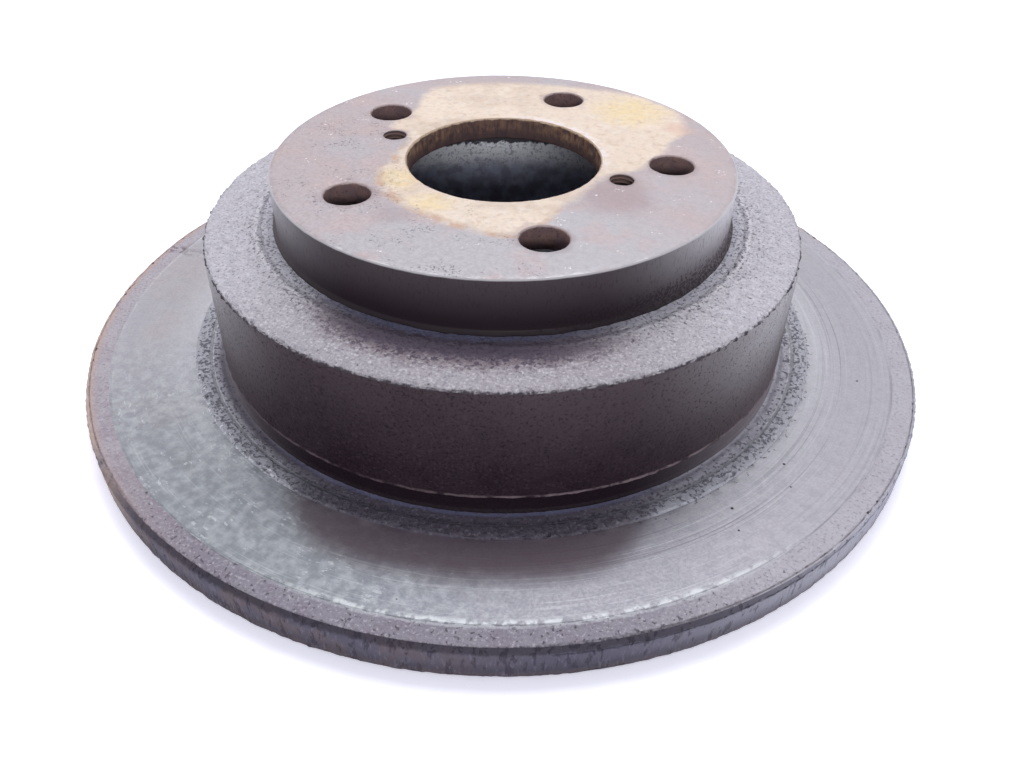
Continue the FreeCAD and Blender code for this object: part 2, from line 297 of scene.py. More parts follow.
    # Colour of dry rust, from dark brown through orange to pale tan
    net, given, result = startGroup("rustColour", "Place Size", "Colour")
    stain = net.noise(given["Place"], net.calc("DIVIDE", 1.0, given["Size"]), 5.0, 0.6)
    brown = net.tint(net.fit(stain, 0.32, 0.5), rust["deep"], rust["mid"])
    net.feed(result["Colour"], net.tint(net.fit(stain, 0.5, 0.68), brown, rust["pale"]))
    print("node groups:", len(bpy.data.node_groups))


def startMaterial(name, look):
    material = bpy.data.materials.new(name)
    material.use_nodes = True
    net = Net(material.node_tree, look)
    at = net.use("axlePosition")
    net.material, net.direction = material, at["Direction"]
    return net, at


def finishMaterial(net, colour, roughness, metallic, height):
    # Height is in 0 to 1, and the look's depth is what 1 stands for in millimetres
    shader = net.tree.nodes["Principled BSDF"]
    net.feed(shader.inputs["Base Color"], colour)
    net.feed(shader.inputs["Roughness"], roughness)
    net.feed(shader.inputs["Metallic"], metallic)
    net.feed(shader.inputs["Specular IOR Level"], net.look["specular"])
    bump = net.node("Bump", {"Height": height, "Distance": net.look["depth"] * mm, "Strength": 1.0})
    net.feed(shader.inputs["Normal"], bump.outputs["Normal"])
    return net.material


# The section of the disc in millimetres, as turned
section = {
    "rimRadius": high[0] / mm,
    "ringTop": 10.0, "rimChamfer": 1.8, "rimChamferLeast": 0.5, "rimWornTurn": -20, "backChamfer": 0.4,
    "trackInner": 100.0, "trackOuter": 126.0, "trackDepth": 0.4, "trackSlope": 0.6,
    "reliefRadius": 96.0, "reliefSlope": 0.5, "reliefFloor": 9.2, "reliefBevel": 0.6,
    "undercutRadius": 90.5, "undercutTop": 14.5, "beadReach": 0.3, "beadUnder": 0.1, "beadHeight": 0.9,
    "hatRadius": 91.0, "shoulderRadius": 90.39, "shoulderEdge": 49.4, "shoulderBevel": 0.9,
    "shoulderInner": 50.42, "seatRadius": 73.6, "seatFloor": 50.3, "seatBevel": 0.9,
    "crownRadius": 69.0, "crownEdge": 0.4,
    "wheelFace": high[2] / mm,
    "hubFace": mounts["hub_face"]["pos_m"][2] / mm,
    "boreRadius": mounts["centre_bore"]["dims"]["r_mm"], "boreChamfer": 0.5,
    "crownInner": 62.5, "crownBevel": 2.0,
    "webInner": 44.2, "webEdge": 42.9, "webFillet": 4.0,
    "drumRadius": mounts["parking_drum"]["dims"]["r_mm"],
    "runoutRadius": 85.6, "runoutTop": 37.9, "runoutBottom": 35.4, "mouthChamfer": 1.5,
    # how far the fine rows reach beside the ragged edges, and what the faces gain there
    "lipFine": 0.9, "wallFine": 3.0, "wallLean": 0.03, "shoulderFine": 3.2, "shoulderRise": 0.15,
}

# How each skin stands off the turned section, in millimetres: long waves of the
# mould, orange peel, rust scale, pits, and how far the whole skin is sunk
skins = {
    "castInside": (0.10, 0.18, 0.08, 0.00, 0.00),
    "drumWall": (0.00, 0.00, 0.03, 0.05, 0.00),
    "inboardFace": (0.00, 0.00, 0.01, 0.02, 0.01),
    "rimScale": (0.08, 0.08, 0.14, 0.16, 0.10),
    "rustedLip": (0.03, 0.08, 0.16, 0.16, 0.03),
    "sweptTrack": (0.03, 0.00, 0.012, 0.02, 0.00),
    "speckledLand": (0.03, 0.06, 0.18, 0.14, 0.04),
    "castWall": (0.14, 0.16, 0.08, 0.00, 0.00),
    "sandyShoulder": (0.12, 0.18, 0.26, 0.28, 0.00),
    "turnedCrown": (0.05, 0.03, 0.03, 0.06, 0.00),
    "wheelFace": (0.02, 0.01, 0.02, 0.12, 0.02),
    "rustyBore": (0.02, 0.03, 0.12, 0.10, 0.00),
    "rustyHole": (0.00, 0.01, 0.05, 0.04, 0.00),
}
skinNames = list(skins)

# Points round the axle: in the drum, on plain faces, on rough ones and at ragged edges.
# Each is a multiple of the one before
around = {"drum": 120, "plain": 240, "rough": 480, "fine": 960}


def trimmed(here, other, reach):
    # The point on the way from here to other at that distance
    way = other - here
    return here + way / np.linalg.norm(way) * reach


def turnAt(before, here, after):
    # Angle that the section turns by at a station, in radians
    a, b = here - before, after - here
    cosine = a @ b / np.linalg.norm(a) / np.linalg.norm(b)
    return math.acos(max(-1.0, min(1.0, cosine)))


roundStep = 25   # degrees that the section turns by from row to row at a round corner


def sectionRows(stations):
    # Rows of points along the section. A station is a radius, a height, how round and
    # how ragged its corner is, and for the stretch after it the spacing of the rows,
    # the skin and the count of points round the axle
    places = [np.array(station[:2], float) for station in stations]
    rows = []
    last = len(stations) - 1
    for i, (_, _, roundness, ragged, step, skin, count) in enumerate(stations):
        here = places[i]
        bend = [here]
        if roundness and 0 < i < last:
            turn = turnAt(places[i - 1], here, places[i + 1])
            reach = roundness * math.tan(turn / 2)
            a, b = trimmed(here, places[i - 1], reach), trimmed(here, places[i + 1], reach)
            steps = max(2, round(math.degrees(turn) / roundStep))
            shares = [k / steps for k in range(steps + 1)]
            bend = [(1 - t) ** 2 * a + 2 * t * (1 - t) * here + t ** 2 * b for t in shares]
        before = stations[i - 1][5] if i else skin
        for k, point in enumerate(bend):
            share = k / (len(bend) - 1) if len(bend) > 1 else 0.5
            rows.append({"place": point, "skin": skin, "before": before, "share": share,
                         "count": count, "ragged": ragged})
        if i == last:
            break
        end = places[i + 1]
        if stations[i + 1][2] and i + 1 < last:
            turn = turnAt(here, end, places[i + 2])
            end = trimmed(end, here, stations[i + 1][2] * math.tan(turn / 2))
        start = bend[-1]
        pieces = max(1, round(np.linalg.norm(end - start) / step))
        for k in range(1, pieces):
            rows.append({"place": start + (end - start) * k / pieces, "skin": skin, "before": skin,
                         "share": 1.0, "count": count, "ragged": 0.0})
    return rows


class Casting:
    # Gathers the points of the disc, how far each may stand off, and the faces

    def __init__(self):
        self.points = []
        self.normals = []
        self.standOff = []
        self.ragged = []
        self.faces = []
        self.faceSkins = []

    def addPoint(self, place, normal, standOff, ragged=0.0):
        self.points.append(place)
        self.normals.append(normal)
        self.standOff.append(standOff)
        self.ragged.append(ragged)
        return len(self.points) - 1

    def addFace(self, corners, skin):
        self.faces.append(corners)
        self.faceSkins.append(skinNames.index(skin))

    def lathe(self, rows, centre=(0.0, 0.0), placeAt=None, chipsAt=None):
        # Turns the rows round an upright axis and gives back the rings of points
        rings = []
        for i, row in enumerate(rows):
            along = rows[min(i + 1, len(rows) - 1)]["place"] - rows[max(i - 1, 0)]["place"]
            across = np.array([along[1], -along[0]]) / np.linalg.norm(along)
            both, share = zip(skins[row["before"]], skins[row["skin"]]), row["share"]
            standOff = [old * (1 - share) + new * share for old, new in both]
            ring = []
            for k in range(row["count"]):
                angle = 2 * math.pi * k / row["count"]
                c, s = math.cos(angle), math.sin(angle)
                r, z = row["place"]
                if placeAt:
                    r, z = placeAt(r, z, angle)
                place = (centre[0] + r * c, centre[1] + r * s, z)
                normal = (across[0] * c, across[0] * s, across[1])
                chips = chipsAt(angle) if chipsAt else 1.0
                ring.append(self.addPoint(place, normal, standOff, row["ragged"] * chips))
            rings.append(ring)
        for i in range(len(rings) - 1):
            self.bridge(rings[i], rings[i + 1], rows[i]["skin"])
        return rings

    def bridge(self, near, far, skin):
        # Joins two rings, whose counts are equal or one a multiple of the other
        if len(near) == len(far):
            for k in range(len(near)):
                n = (k + 1) % len(near)
                self.addFace((near[k], near[n], far[n], far[k]), skin)
            return
        finer = len(near) > len(far)
        coarse, fine = (far, near) if finer else (near, far)
        times = len(fine) // len(coarse)
        middle = times // 2
        for k in range(len(coarse)):
            a, b = coarse[k], coarse[(k + 1) % len(coarse)]
            run = [fine[(k * times + t) % len(fine)] for t in range(times + 1)]
            fan = [(a, b, run[middle])]
            fan += [(a, run[t + 1], run[t]) for t in range(middle)]
            fan += [(b, run[t + 1], run[t]) for t in range(middle, times)]
            for corners in fan:
                self.addFace(corners[::-1] if finer else corners, skin)

    def plate(self, height, up, outer, holes, spacing, skin):
        # A flat face from an outer ring in to the rings of its holes
        loops = [outer] + [ring for ring, _, _ in holes]
        ids = [i for loop in loops for i in loop]
        loopOf = [k for k, loop in enumerate(loops) for _ in loop]
        spots = [Vector(self.points[i][:2]) for i in ids]
        edges = []
        for loop in loops:
            start = len(edges)
            edges += [(start + k, start + (k + 1) % len(loop)) for k in range(len(loop))]
        margin = spacing * 0.6
        limit = math.hypot(*self.points[outer[0]][:2]) - margin
        normal = (0.0, 0.0, 1.0 if up else -1.0)
        rowGap = spacing * math.sqrt(3) / 2
        rowCount, columnCount = int(limit / rowGap), int(limit / spacing) + 1
        for row in range(-rowCount, rowCount + 1):
            for column in range(-columnCount, columnCount + 1):
                x, y = (column + 0.5 * (row % 2)) * spacing, row * rowGap
                near = any(math.hypot(x - c[0], y - c[1]) < r + margin for _, c, r in holes)
                if near or math.hypot(x, y) > limit:
                    continue
                ids.append(self.addPoint((x, y, height), normal, skins[skin]))
                spots.append(Vector((x, y)))
        _, _, triangles, origins, _, _ = delaunay_2d_cdt(spots, edges, [], 1, 1e-6)
        for corners in triangles:
            given = [origins[v][0] for v in corners]
            on = {loopOf[i] if i < len(loopOf) else -1 for i in given}
            if len(on) == 1 and min(on) > 0:   # all three on one hole's edge, so inside it
                continue
            face = [ids[i] for i in given]
            self.addFace(face if up else face[::-1], skin)


def discStations():
    # Round the whole section: down the inside, out under the ring, up its rim, in over
    # the ring, up the hat, in over the shoulder and up the crown
    s = section
    top, worn = s["ringTop"], s["ringTop"] - s["trackDepth"]
    trackIn, trackOut, slope = s["trackInner"], s["trackOuter"], s["trackSlope"]
    drum, plain, rough, fine = around["drum"], around["plain"], around["rough"], around["fine"]
    shoulder, bevel = s["shoulderRadius"], s["shoulderBevel"]
    stretches = [
        ("castInside", drum, [
            (s["crownInner"] - s["crownBevel"], s["hubFace"], 0, 0, 2.0),
            (s["crownInner"], s["hubFace"] - s["crownBevel"], 0.5, 0, 5.0),
            (s["crownInner"], s["webInner"] + s["crownBevel"], 0.8, 0, 2.0),
            (s["crownInner"] + s["crownBevel"], s["webInner"], 0.8, 0, 5.0),
            (s["drumRadius"], s["webEdge"], s["webFillet"], 0, 2.0),
            (s["drumRadius"], s["runoutTop"], 0.1, 0, 1.0),
            (s["runoutRadius"], s["runoutTop"], 0.15, 0, 1.3),
            (s["runoutRadius"], s["runoutBottom"], 0.15, 0, 1.0),
        ]),
        ("drumWall", drum, [
            (s["drumRadius"], s["runoutBottom"], 0.1, 0, 7.0),
            (s["drumRadius"], s["mouthChamfer"], 0.2, 0, 1.1),
        ]),
        ("inboardFace", drum, [
            (s["drumRadius"] + s["mouthChamfer"], 0.0, 0.2, 0, 5.0),
            (trackIn, 0.0, 0.1, 0, 1.0),
            (trackIn + slope, s["trackDepth"], 0.2, 0, 6.0),
            (trackOut - slope, s["trackDepth"], 0.2, 0, 1.0),
        ]),
        ("inboardFace", plain, [
            (trackOut, 0.0, 0.1, 0, 2.0),
        ]),
        ("rimScale", fine, [
            (s["rimRadius"] - s["backChamfer"], 0.0, 0.15, 0.1, 0.5),
            (s["rimRadius"], s["backChamfer"], 0.15, 0.1, 1.1),
            (s["rimRadius"], top - s["rimChamfer"], 0.8, 0.25, 0.8),
        ]),
        ("rustedLip", rough, [
            (s["rimRadius"] - s["rimChamfer"], top, 0.8, 0.25, 0.5),
            (s["rimRadius"] - s["rimChamfer"] - s["lipFine"], top, 0, 0, 1.1),
        ]),
        ("sweptTrack", plain, [
            (trackOut, top, 0.15, 0.2, 0.6),
            (trackOut - slope, worn, 0.2, 0, 2.0),
        ]),
        ("speckledLand", rough, [
            (trackIn + slope, worn, 0.2, 0, 0.6),
            (trackIn, top, 0.15, 0.15, 1.0),
            (s["reliefRadius"] + s["reliefSlope"], top, 0.4, 0.2, 0.6),
            (s["reliefRadius"] - s["reliefSlope"], s["reliefFloor"], 0.3, 0.15, 1.0),
        ]),
        ("castWall", rough, [
            (s["undercutRadius"] + s["reliefBevel"], s["reliefFloor"], 0.4, 0, 0.6),
            (s["undercutRadius"], s["reliefFloor"] + s["reliefBevel"], 0.4, 0, 2.0),
            (s["undercutRadius"], s["undercutTop"], 0.1, 0.05, 0.4),
            (s["hatRadius"] + s["beadReach"], s["undercutTop"] + s["beadUnder"], 0.15, 0.15, 0.4),
            (s["hatRadius"], s["undercutTop"] + s["beadHeight"], 0.3, 0, 2.0),
        ]),
        ("castWall", fine, [
            (shoulder + s["wallLean"], s["shoulderEdge"] - s["wallFine"], 0, 0, 0.7),
        ]),
        ("sandyShoulder", fine, [
            (shoulder, s["shoulderEdge"] - bevel, 0.6, 0.6, 0.5),
            (shoulder - bevel, s["shoulderEdge"], 0.6, 0.6, 0.7),
        ]),
        ("sandyShoulder", rough, [
            (shoulder - s["shoulderFine"], s["shoulderEdge"] + s["shoulderRise"], 0, 0, 1.15),
            (s["seatRadius"], s["shoulderInner"], 0.1, 0.1, 0.3),
            (s["seatRadius"], s["seatFloor"], 0.1, 0, 1.2),
        ]),
        ("turnedCrown", plain, [
            (s["crownRadius"] + s["seatBevel"], s["seatFloor"], 0.6, 0, 0.6),
            (s["crownRadius"], s["seatFloor"] + s["seatBevel"], 0.6, 0, 1.7),
            (s["crownRadius"], s["wheelFace"] - s["crownEdge"], 0.15, 0.06, 0.4),
        ]),
        ("wheelFace", plain, [
            (s["crownRadius"] - s["crownEdge"], s["wheelFace"], 0, 0.03, 1.0),
        ]),
    ]
    return [(*corner, skin, count) for skin, count, corners in stretches for corner in corners]


def holeStations(radius, topChamfer, bottomChamfer, step, skin, count, chip=0.05):
    # A hole through the plate, from the wheel face down
    top, bottom = section["wheelFace"], section["hubFace"]
    stations = [
        (radius + topChamfer, top, 0, chip, topChamfer / 2, skin, count),
        (radius, top - topChamfer, topChamfer * 0.3, chip, step, skin, count),
    ]
    if bottomChamfer:
        stations.append((radius, bottom + bottomChamfer, 0.1, 0, bottomChamfer, skin, count))
    stations.append((radius + bottomChamfer, bottom, 0, 0, step, skin, count))
    return stations


thread = {"major": 4.0, "minor": 3.32, "pitch": 1.25, "flat": 0.12, "runIn": 0.5, "crest": 0.3}


def threadPlace(radius, height, angle):
    # An M8 thread in the drilled wall, run out at both faces
    turn = (height / thread["pitch"] - angle / (2 * math.pi)) % 1.0
    tooth = min(1.0, max(0.0, (abs(turn - 0.5) * 2 - thread["flat"]) / (1 - 2 * thread["flat"])))
    cut = thread["minor"] + (thread["major"] - thread["minor"]) * tooth
    ends = min(section["wheelFace"] - height, height - section["hubFace"])
    run = min(1.0, max(0.0, ends / thread["runIn"]))
    return max(radius * (1 - run) + cut * run, min(cut, radius)), height


studHole = {"chamfer": 0.5, "step": 1.5, "count": 48}
jackHole = {"chamfer": 0.4, "step": 0.2, "count": 32}
plateSpacing = {"wheelFace": 1.8, "hubFace": 5.0}   # of the points on the two flat faces
studs = mounts["wheel_stud_holes"]["dims"]
studPlaces = []
for k in range(studs["count"]):
    angle = math.radians(90 + 360 * k / studs["count"])
    reach = studs["pcd_mm"] / 2
    studPlaces.append(((reach * math.cos(angle), reach * math.sin(angle)), studs["hole_r_mm"]))
jackPlaces = []
for name in ("jacking_hole_a", "jacking_hole_b"):
    jack = mounts[name]
    jackPlaces.append(((jack["pos_m"][0] / mm, jack["pos_m"][1] / mm), jack["dims"]["r_mm"]))


touching = 0.01   # points nearer to a face than this lie on it


def wornRim(r, z, angle):
    # The chamfer at the top of the rim is worn wide at the front and narrow elsewhere
    s = section
    rim, top, wide, least = s["rimRadius"], s["ringTop"], s["rimChamfer"], s["rimChamferLeast"]
    track, back = s["trackOuter"], s["backChamfer"]
    facing = math.cos(angle - math.radians(sides["front"] + s["rimWornTurn"]))
    chamfer = least + (wide - least) * max(0.0, 2 * facing - 1)
    if r > rim - wide and z > top - wide:
        return rim - (rim - r) * chamfer / wide, top - (top - z) * chamfer / wide
    if r > track and z > top - touching:
        r = track + (r - track) * (rim - chamfer - track) / (rim - wide - track)
    elif r > rim - touching and z > back:
        z = back + (z - back) * (top - chamfer - back) / (top - wide - back)
    return r, z


boreEdge = {"brokenTowards": 72, "least": 0.15, "chip": 0.3, "step": 1.1, "count": 240}


def boreChips(angle):
    # The bore's edge is broken away on one side only
    facing = math.cos(angle - math.radians(boreEdge["brokenTowards"]))
    return max(boreEdge["least"], facing) ** 2


def buildCasting():
    made = Casting()
    shell = made.lathe(sectionRows(discStations()), placeAt=wornRim)
    radius, chamfer = section["boreRadius"], section["boreChamfer"]
    edge = boreEdge
    stations = holeStations(radius, chamfer, chamfer, edge["step"], "rustyBore", edge["count"], edge["chip"])
    bore = made.lathe(sectionRows(stations), chipsAt=boreChips)
    above = [(bore[0], (0.0, 0.0), radius + chamfer)]
    below = [(bore[-1], (0.0, 0.0), radius + chamfer)]
    for places, hole, placeAt in ((studPlaces, studHole, None), (jackPlaces, jackHole, threadPlace)):
        for centre, radius in places:
            stations = holeStations(radius, hole["chamfer"], 0, hole["step"], "rustyHole", hole["count"])
            rings = made.lathe(sectionRows(stations), centre, placeAt)
            above.append((rings[0], centre, radius + hole["chamfer"]))
            below.append((rings[-1], centre, radius))
    made.plate(section["wheelFace"], True, shell[-1], above, plateSpacing["wheelFace"], "wheelFace")
    made.plate(section["hubFace"], False, shell[0], below, plateSpacing["hubFace"], "castInside")
    print("casting:", len(made.points), "points,", len(made.faces), "faces")
    return made


# Sizes of the noise that moves the skins, and the level above which it makes a pit
weather = {"wave": 14.0, "peel": 2.6, "scale": 1.7, "pit": 1.5, "pitLevel": 0.32, "pitGain": 3.0,
           "ragged": 2.0, "raggedOff": 0.35}


def weathered(made):
    # The places of the points, each moved out or in by its skin
    moved = np.zeros(len(made.points))
    w = weather
    for i, place in enumerate(made.points):
        p = Vector(place)
        wave, peel, scale, pit, sink = made.standOff[i]
        out = -sink
        if wave:
            out += wave * noise.noise(p / w["wave"])
        if peel:
            out += peel * noise.noise(p / w["peel"] + Vector((7, 3, 1)))
        if scale:
            out += scale * noise.fractal(p / w["scale"] + Vector((1, 9, 4)), 0.9, 2.0, 3)
        if pit:
            deep = noise.noise(p / w["pit"] + Vector((3, 3, 3))) - w["pitLevel"]
            out -= pit * w["pitGain"] * max(0.0, deep)
        ragged = made.ragged[i]
        if ragged:
            out -= ragged * (w["raggedOff"] + noise.fractal(p / w["ragged"] + Vector((5, 1, 8)), 0.8, 2.1, 3))
        moved[i] = out
    places = np.array(made.points) + np.array(made.normals) * moved[:, None]
    reach = np.hypot(places[:, 0], places[:, 1])
    places[:, :2] *= np.minimum(1.0, section["rimRadius"] / np.maximum(reach, 1e-6))[:, None]
    places[:, 2] = places[:, 2].clip(0.0, section["wheelFace"])
    return places


def crests(made):
    # 1 on the crests of the two threads, 0 elsewhere
    places = np.array(made.points)
    found = np.zeros(len(places))
    deep = thread["crest"]
    inside = (places[:, 2] < section["wheelFace"] - jackHole["chamfer"]) & (places[:, 2] > section["hubFace"])
    for (x, y), radius in jackPlaces:
        away = np.hypot(places[:, 0] - x, places[:, 1] - y)
        found = np.maximum(found, ((radius + deep - away) / deep).clip(0, 1) * inside * (away > radius - 1))
    return found


def makeCasting(materials):
    made = buildCasting()
    places = weathered(made)
    mesh = bpy.data.meshes.new("disc_casting")
    mesh.from_pydata((places * mm).tolist(), [], made.faces)
    for skin in skinNames:
        mesh.materials.append(materials[skin])
    mesh.polygons.foreach_set("material_index", made.faceSkins)
    mesh.polygons.foreach_set("use_smooth", [True] * len(made.faces))
    mesh.attributes.new("crest", "FLOAT", "POINT").data.foreach_set("value", crests(made))
    mesh.update()
    piece = bpy.data.objects.new("disc_casting", mesh)
    bpy.context.scene.collection.objects.link(piece)
    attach(piece, "root")
    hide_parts("brake_disc")
    mesh.calc_loop_triangles()
    print("disc_casting:", len(mesh.loop_triangles), "triangles")


# Angles round the axle, in degrees, of the sides as the photograph shows them
sides = {"front": -67, "left": -157, "right": 23, "back": 113}

trackFinish = {
    "base": "a5a3aa", "front": "7a7e84", "right": "a5a2aa", "warm": "aca1a2", "mottle": "787c86",
    "near": "c2c3ca", "fleck": "d3d7db", "groove": "6d6a73", "shade": "54454f", "speck": "35323b",
    "worn": "dfe3e6", "dot": "2b2930", "smudge": "6f606a", "specular": 0.4, "depth": 0.05,
}


def makeTrack():
    # The friction face, swept by the pads
    net, at = startMaterial("sweptTrack", trackFinish)
    place, radius, direction = at["Place"], at["Radius"], at["Direction"]
    front = net.side("front", -6, 26, 50)
    right = net.side("front", 50, 35, 35)
    frontLeft = net.side("front", -38, 24, 24)
    wandering = net.use("ragged", radius, place, 4.0, 0.6)
    warm = net.use("cloudy", place, 24.0, 0.45, 0.62)
    blotch = net.use("cloudy", place, 3.4, 0.42, 0.66)
    fine = net.use("cloudy", place, 0.8, 0.36, 0.64)
    # Painted shade keeps the front of the track darker, with a further band of painted shade in front;
    # painted light lifts the track near the hat away from the front
    colour = net.layers(
        "base",
        (warm, 0.5, "warm"),
        (front, "front"),
        (right, "right"),
        (net.fit(radius, 114.0, 100.0), net.flip(net.side("front", -5, 18, 28)), 0.5, "near"),
        (net.side("front", 3, 6, 24), 0.28, "mottle"),
        (blotch, net.add(0.1, (front, 0.14), (frontLeft, 0.1)), "mottle"),
        (fine, net.add(0.16, (frontLeft, 0.1)), "mottle"))

    # Fine rings, and deeper ones on one side where grit was caught
    path = net.use("roundAxle", direction, radius, 0.5, 26.0)
    lines = net.use("turnedLines", path)
    grooveAt = net.use("roundAxle", direction, radius, 0.9, 120.0)
    grooves = net.use("turnedLines", grooveAt)
    outerScores = net.times(net.band(radius, 121.5, 1.5, 3.0), 0.4)
    scored = net.times(net.either(net.band(radius, 108.5, 3.0, 4.0), outerScores), right)
    colour = net.layers(
        colour,
        (lines["Dark"], net.add(0.05, (right, 0.12)), "groove"),
        (lines["Light"], net.add(0.05, (front, 0.14)), "fleck"),
        (grooves["Dark"], net.add(0.03, (scored, 0.5)), "groove"),
        (grooves["Light"], net.times(scored, 0.3), "fleck"))

    # Bare metal in short strokes, most of them where the pads left the face last
    strokePath = net.use("roundAxle", direction, radius, 0.9, 2.0)
    where = net.use("cloudy", place, 11.0, 0.36, 0.66)
    innerRing = net.times(net.band(wandering, 101.3, 0.7, 1.2), frontLeft, 0.36)
    outerRing = net.times(net.band(wandering, 123.0, 0.6, 1.6), frontLeft, 0.22)
    share = net.times(where, net.add(0.05, (frontLeft, 0.3), (front, 0.08)))
    share = net.either(net.either(innerRing, outerRing), share)
    strokes = net.use("speckled", strokePath, 1.0, share)
    haze = net.use("cloudy", net.scaled(place, -1.0), 2.6, 0.34, 0.72)
    haze = net.times(haze, net.add(0.06, (frontLeft, 0.2)))
    edgeCloud = net.use("cloudy", place, 2.2, 0.4, 0.56)
    wornEdge = net.band(net.use("ragged", radius, place, 1.6, 0.5), 125.2, 0.3, 1.2)
    wornEdge = net.times(wornEdge, edgeCloud, net.side("front", 5, 12, 26))
    colour = net.layers(
        colour,
        (haze, "fleck"),
        (strokes, 0.42, "fleck"),
        (wornEdge, 0.6, "worn"),
        (net.band(radius, 100.1, 0.5, 0.4), net.side("front", 32, 30, 15), 0.45, "groove"))

    # A smudge across the left of the track
    smudge = net.use("smudge", place, direction)
    colour = net.tint(net.times(smudge, net.fit(radius, 108.0, 126.0), 0.5), colour, "smudge")

    # Painted shadow of the hat at its foot, with dark specks and dots near it
    shade = net.use("footShade", place, radius, direction)
    near = net.times(net.fit(wandering, 104.5, 99.6), net.add(0.24, (right, 0.22)))
    specks = net.use("speckled", place, 1.3, near)
    dots = net.use("specks", place, 0.8, 0.005)
    colour = net.layers(colour, (specks, 0.7, "speck"), (shade, 0.88, "shade"), (dots, "dot"))
    rough = net.add(0.44, (fine, 0.12), (strokes, 0.12), (shade, 0.2))
    metallic = net.fit(net.either(shade, specks), 0.0, 1.0, 0.3, 0.05)
    height = net.add((lines["Height"], 0.4), (grooves["Height"], scored),
                     (fine, 0.2), (specks, -1.2))
    return finishMaterial(net, colour, rough, metallic, height)


lipFinish = {
    "base": "b0adb5", "front": "8a8690", "grain": "c4c1c9", "violet": "7d7080", "speck": "3c3742",
    "edge": "3b3540", "tan": "c4aa9a", "pinkish": "aa989c", "worn": "ced2d8", "hollow": "6e6973",
    "smudge": "5f4f59", "specular": 0.25, "depth": 0.3,
}


def makeLip():
    # The unswept lip outside the track, down to the rim
    net, at = startMaterial("rustedLip", lipFinish)
    place, radius, direction = at["Place"], at["Radius"], at["Direction"]
    grain = net.use("castGrain", place, 0.9)
    violet = net.use("cloudy", place, 6.0, 0.4, 0.62)
    frontSide = net.side("front", -7, 22, 30)
    edgeSide = net.side("front", -15, 20, 30)
    left = net.side("left", 6, 30, 24)
    smudge = net.use("smudge", place, direction)
    tan = net.use("tanRust", place, direction)
    specks = net.use("speckled", place, 1.2, net.add(0.12, (frontSide, 0.16)))
    broken = net.use("ragged", radius, place, 1.6, 0.45)
    outer = net.fit(broken, 129.0, 132.5)
    # The front of the lip is painted darker: painted shade
    colour = net.layers(
        "base",
        (edgeSide, "front"),
        (violet, net.add(0.1, (net.side("front", -32, 24, 30), 0.35)), "violet"),
        (left, net.add(0.25, (outer, 0.6)), "pinkish"),
        (grain["Hollows"], 0.5, "hollow"),
        (grain["Grains"], 0.45, "grain"),
        (specks, 0.55, "speck"),
        (tan, outer, 0.7, "tan"),
        (net.fit(broken, 127.0, 126.3), net.side("front", 5, 12, 26), 0.4, "worn"),
        (smudge, 0.7, "smudge"),
        (net.fit(broken, 131.0, 131.8), edgeSide, "edge"))
    metallic = net.times(net.flip(net.either(tan, specks)), 0.2)
    rough = net.add(0.58, (specks, 0.25))
    height = net.add(grain["Height"], (specks, -0.8))
    return finishMaterial(net, colour, rough, metallic, height)


rimFinish = {
    "base": "575465", "grain": "7b788e", "streak": "38333f", "right": "aeaebc", "left": "9b9292",
    "tan": "c9b0a4", "brown": "6d5d5c", "edge": "2f2a35", "notch": "1f1c24", "specular": 0.3, "depth": 0.25,
}


def makeRim():
    # The outer edge, never swept, with rust scale that runs up and down
    net, at = startMaterial("rimScale", rimFinish)
    place, direction, height = at["Place"], at["Direction"], at["Height"]
    drawn = net.stretched(place, (1, 1, 0.28))
    grain = net.use("castGrain", drawn, 0.75)
    streaks = net.use("speckled", drawn, 1.5, 0.36)
    cloud = net.use("cloudy", place, 9.0, 0.4, 0.6)
    notches = net.use("specks", drawn, 1.6, 0.03)
    tan = net.use("tanRust", place, direction)
    frontSide = net.side("front", -7, 24, 30)
    low = net.fit(net.use("ragged", height, place, 4.0, 0.5), 3.0, 1.2)
    top = net.fit(net.use("ragged", height, place, 1.4, 0.3), 8.0, 8.8)
    # The right side and the left are painted lighter as painted light, the left partly with rust in its tone
    colour = net.layers(
        "base",
        (net.side("front", 90, 38, 45), "right"),
        (net.side("left", 0, 20, 26), "left"),
        (net.side("front", -32, 16, 24), cloud, 0.5, "brown"),
        (low, 0.45, "brown"),
        (frontSide, net.fit(height, 6.0, 2.5), 0.45, "streak"),
        (streaks, 0.45, "streak"),
        (grain["Grains"], 0.4, "grain"),
        (tan, 0.85, "tan"),
        (top, frontSide, 0.8, "edge"),
        (notches, "notch"))
    rough = net.add(0.62, (streaks, 0.2))
    metallic = net.times(net.flip(net.either(tan, low)), 0.2)
    height = net.add(grain["Height"], (streaks, -0.5), (notches, -1.0))
    return finishMaterial(net, colour, rough, metallic, height)


landFinish = {
    "base": "a9aab3", "relief": "aaa9b3", "speck": "45414c", "shade": "463d4b", "glow": "66698a",
    "pale": "d2d4da", "specular": 0.25, "depth": 0.2,
}


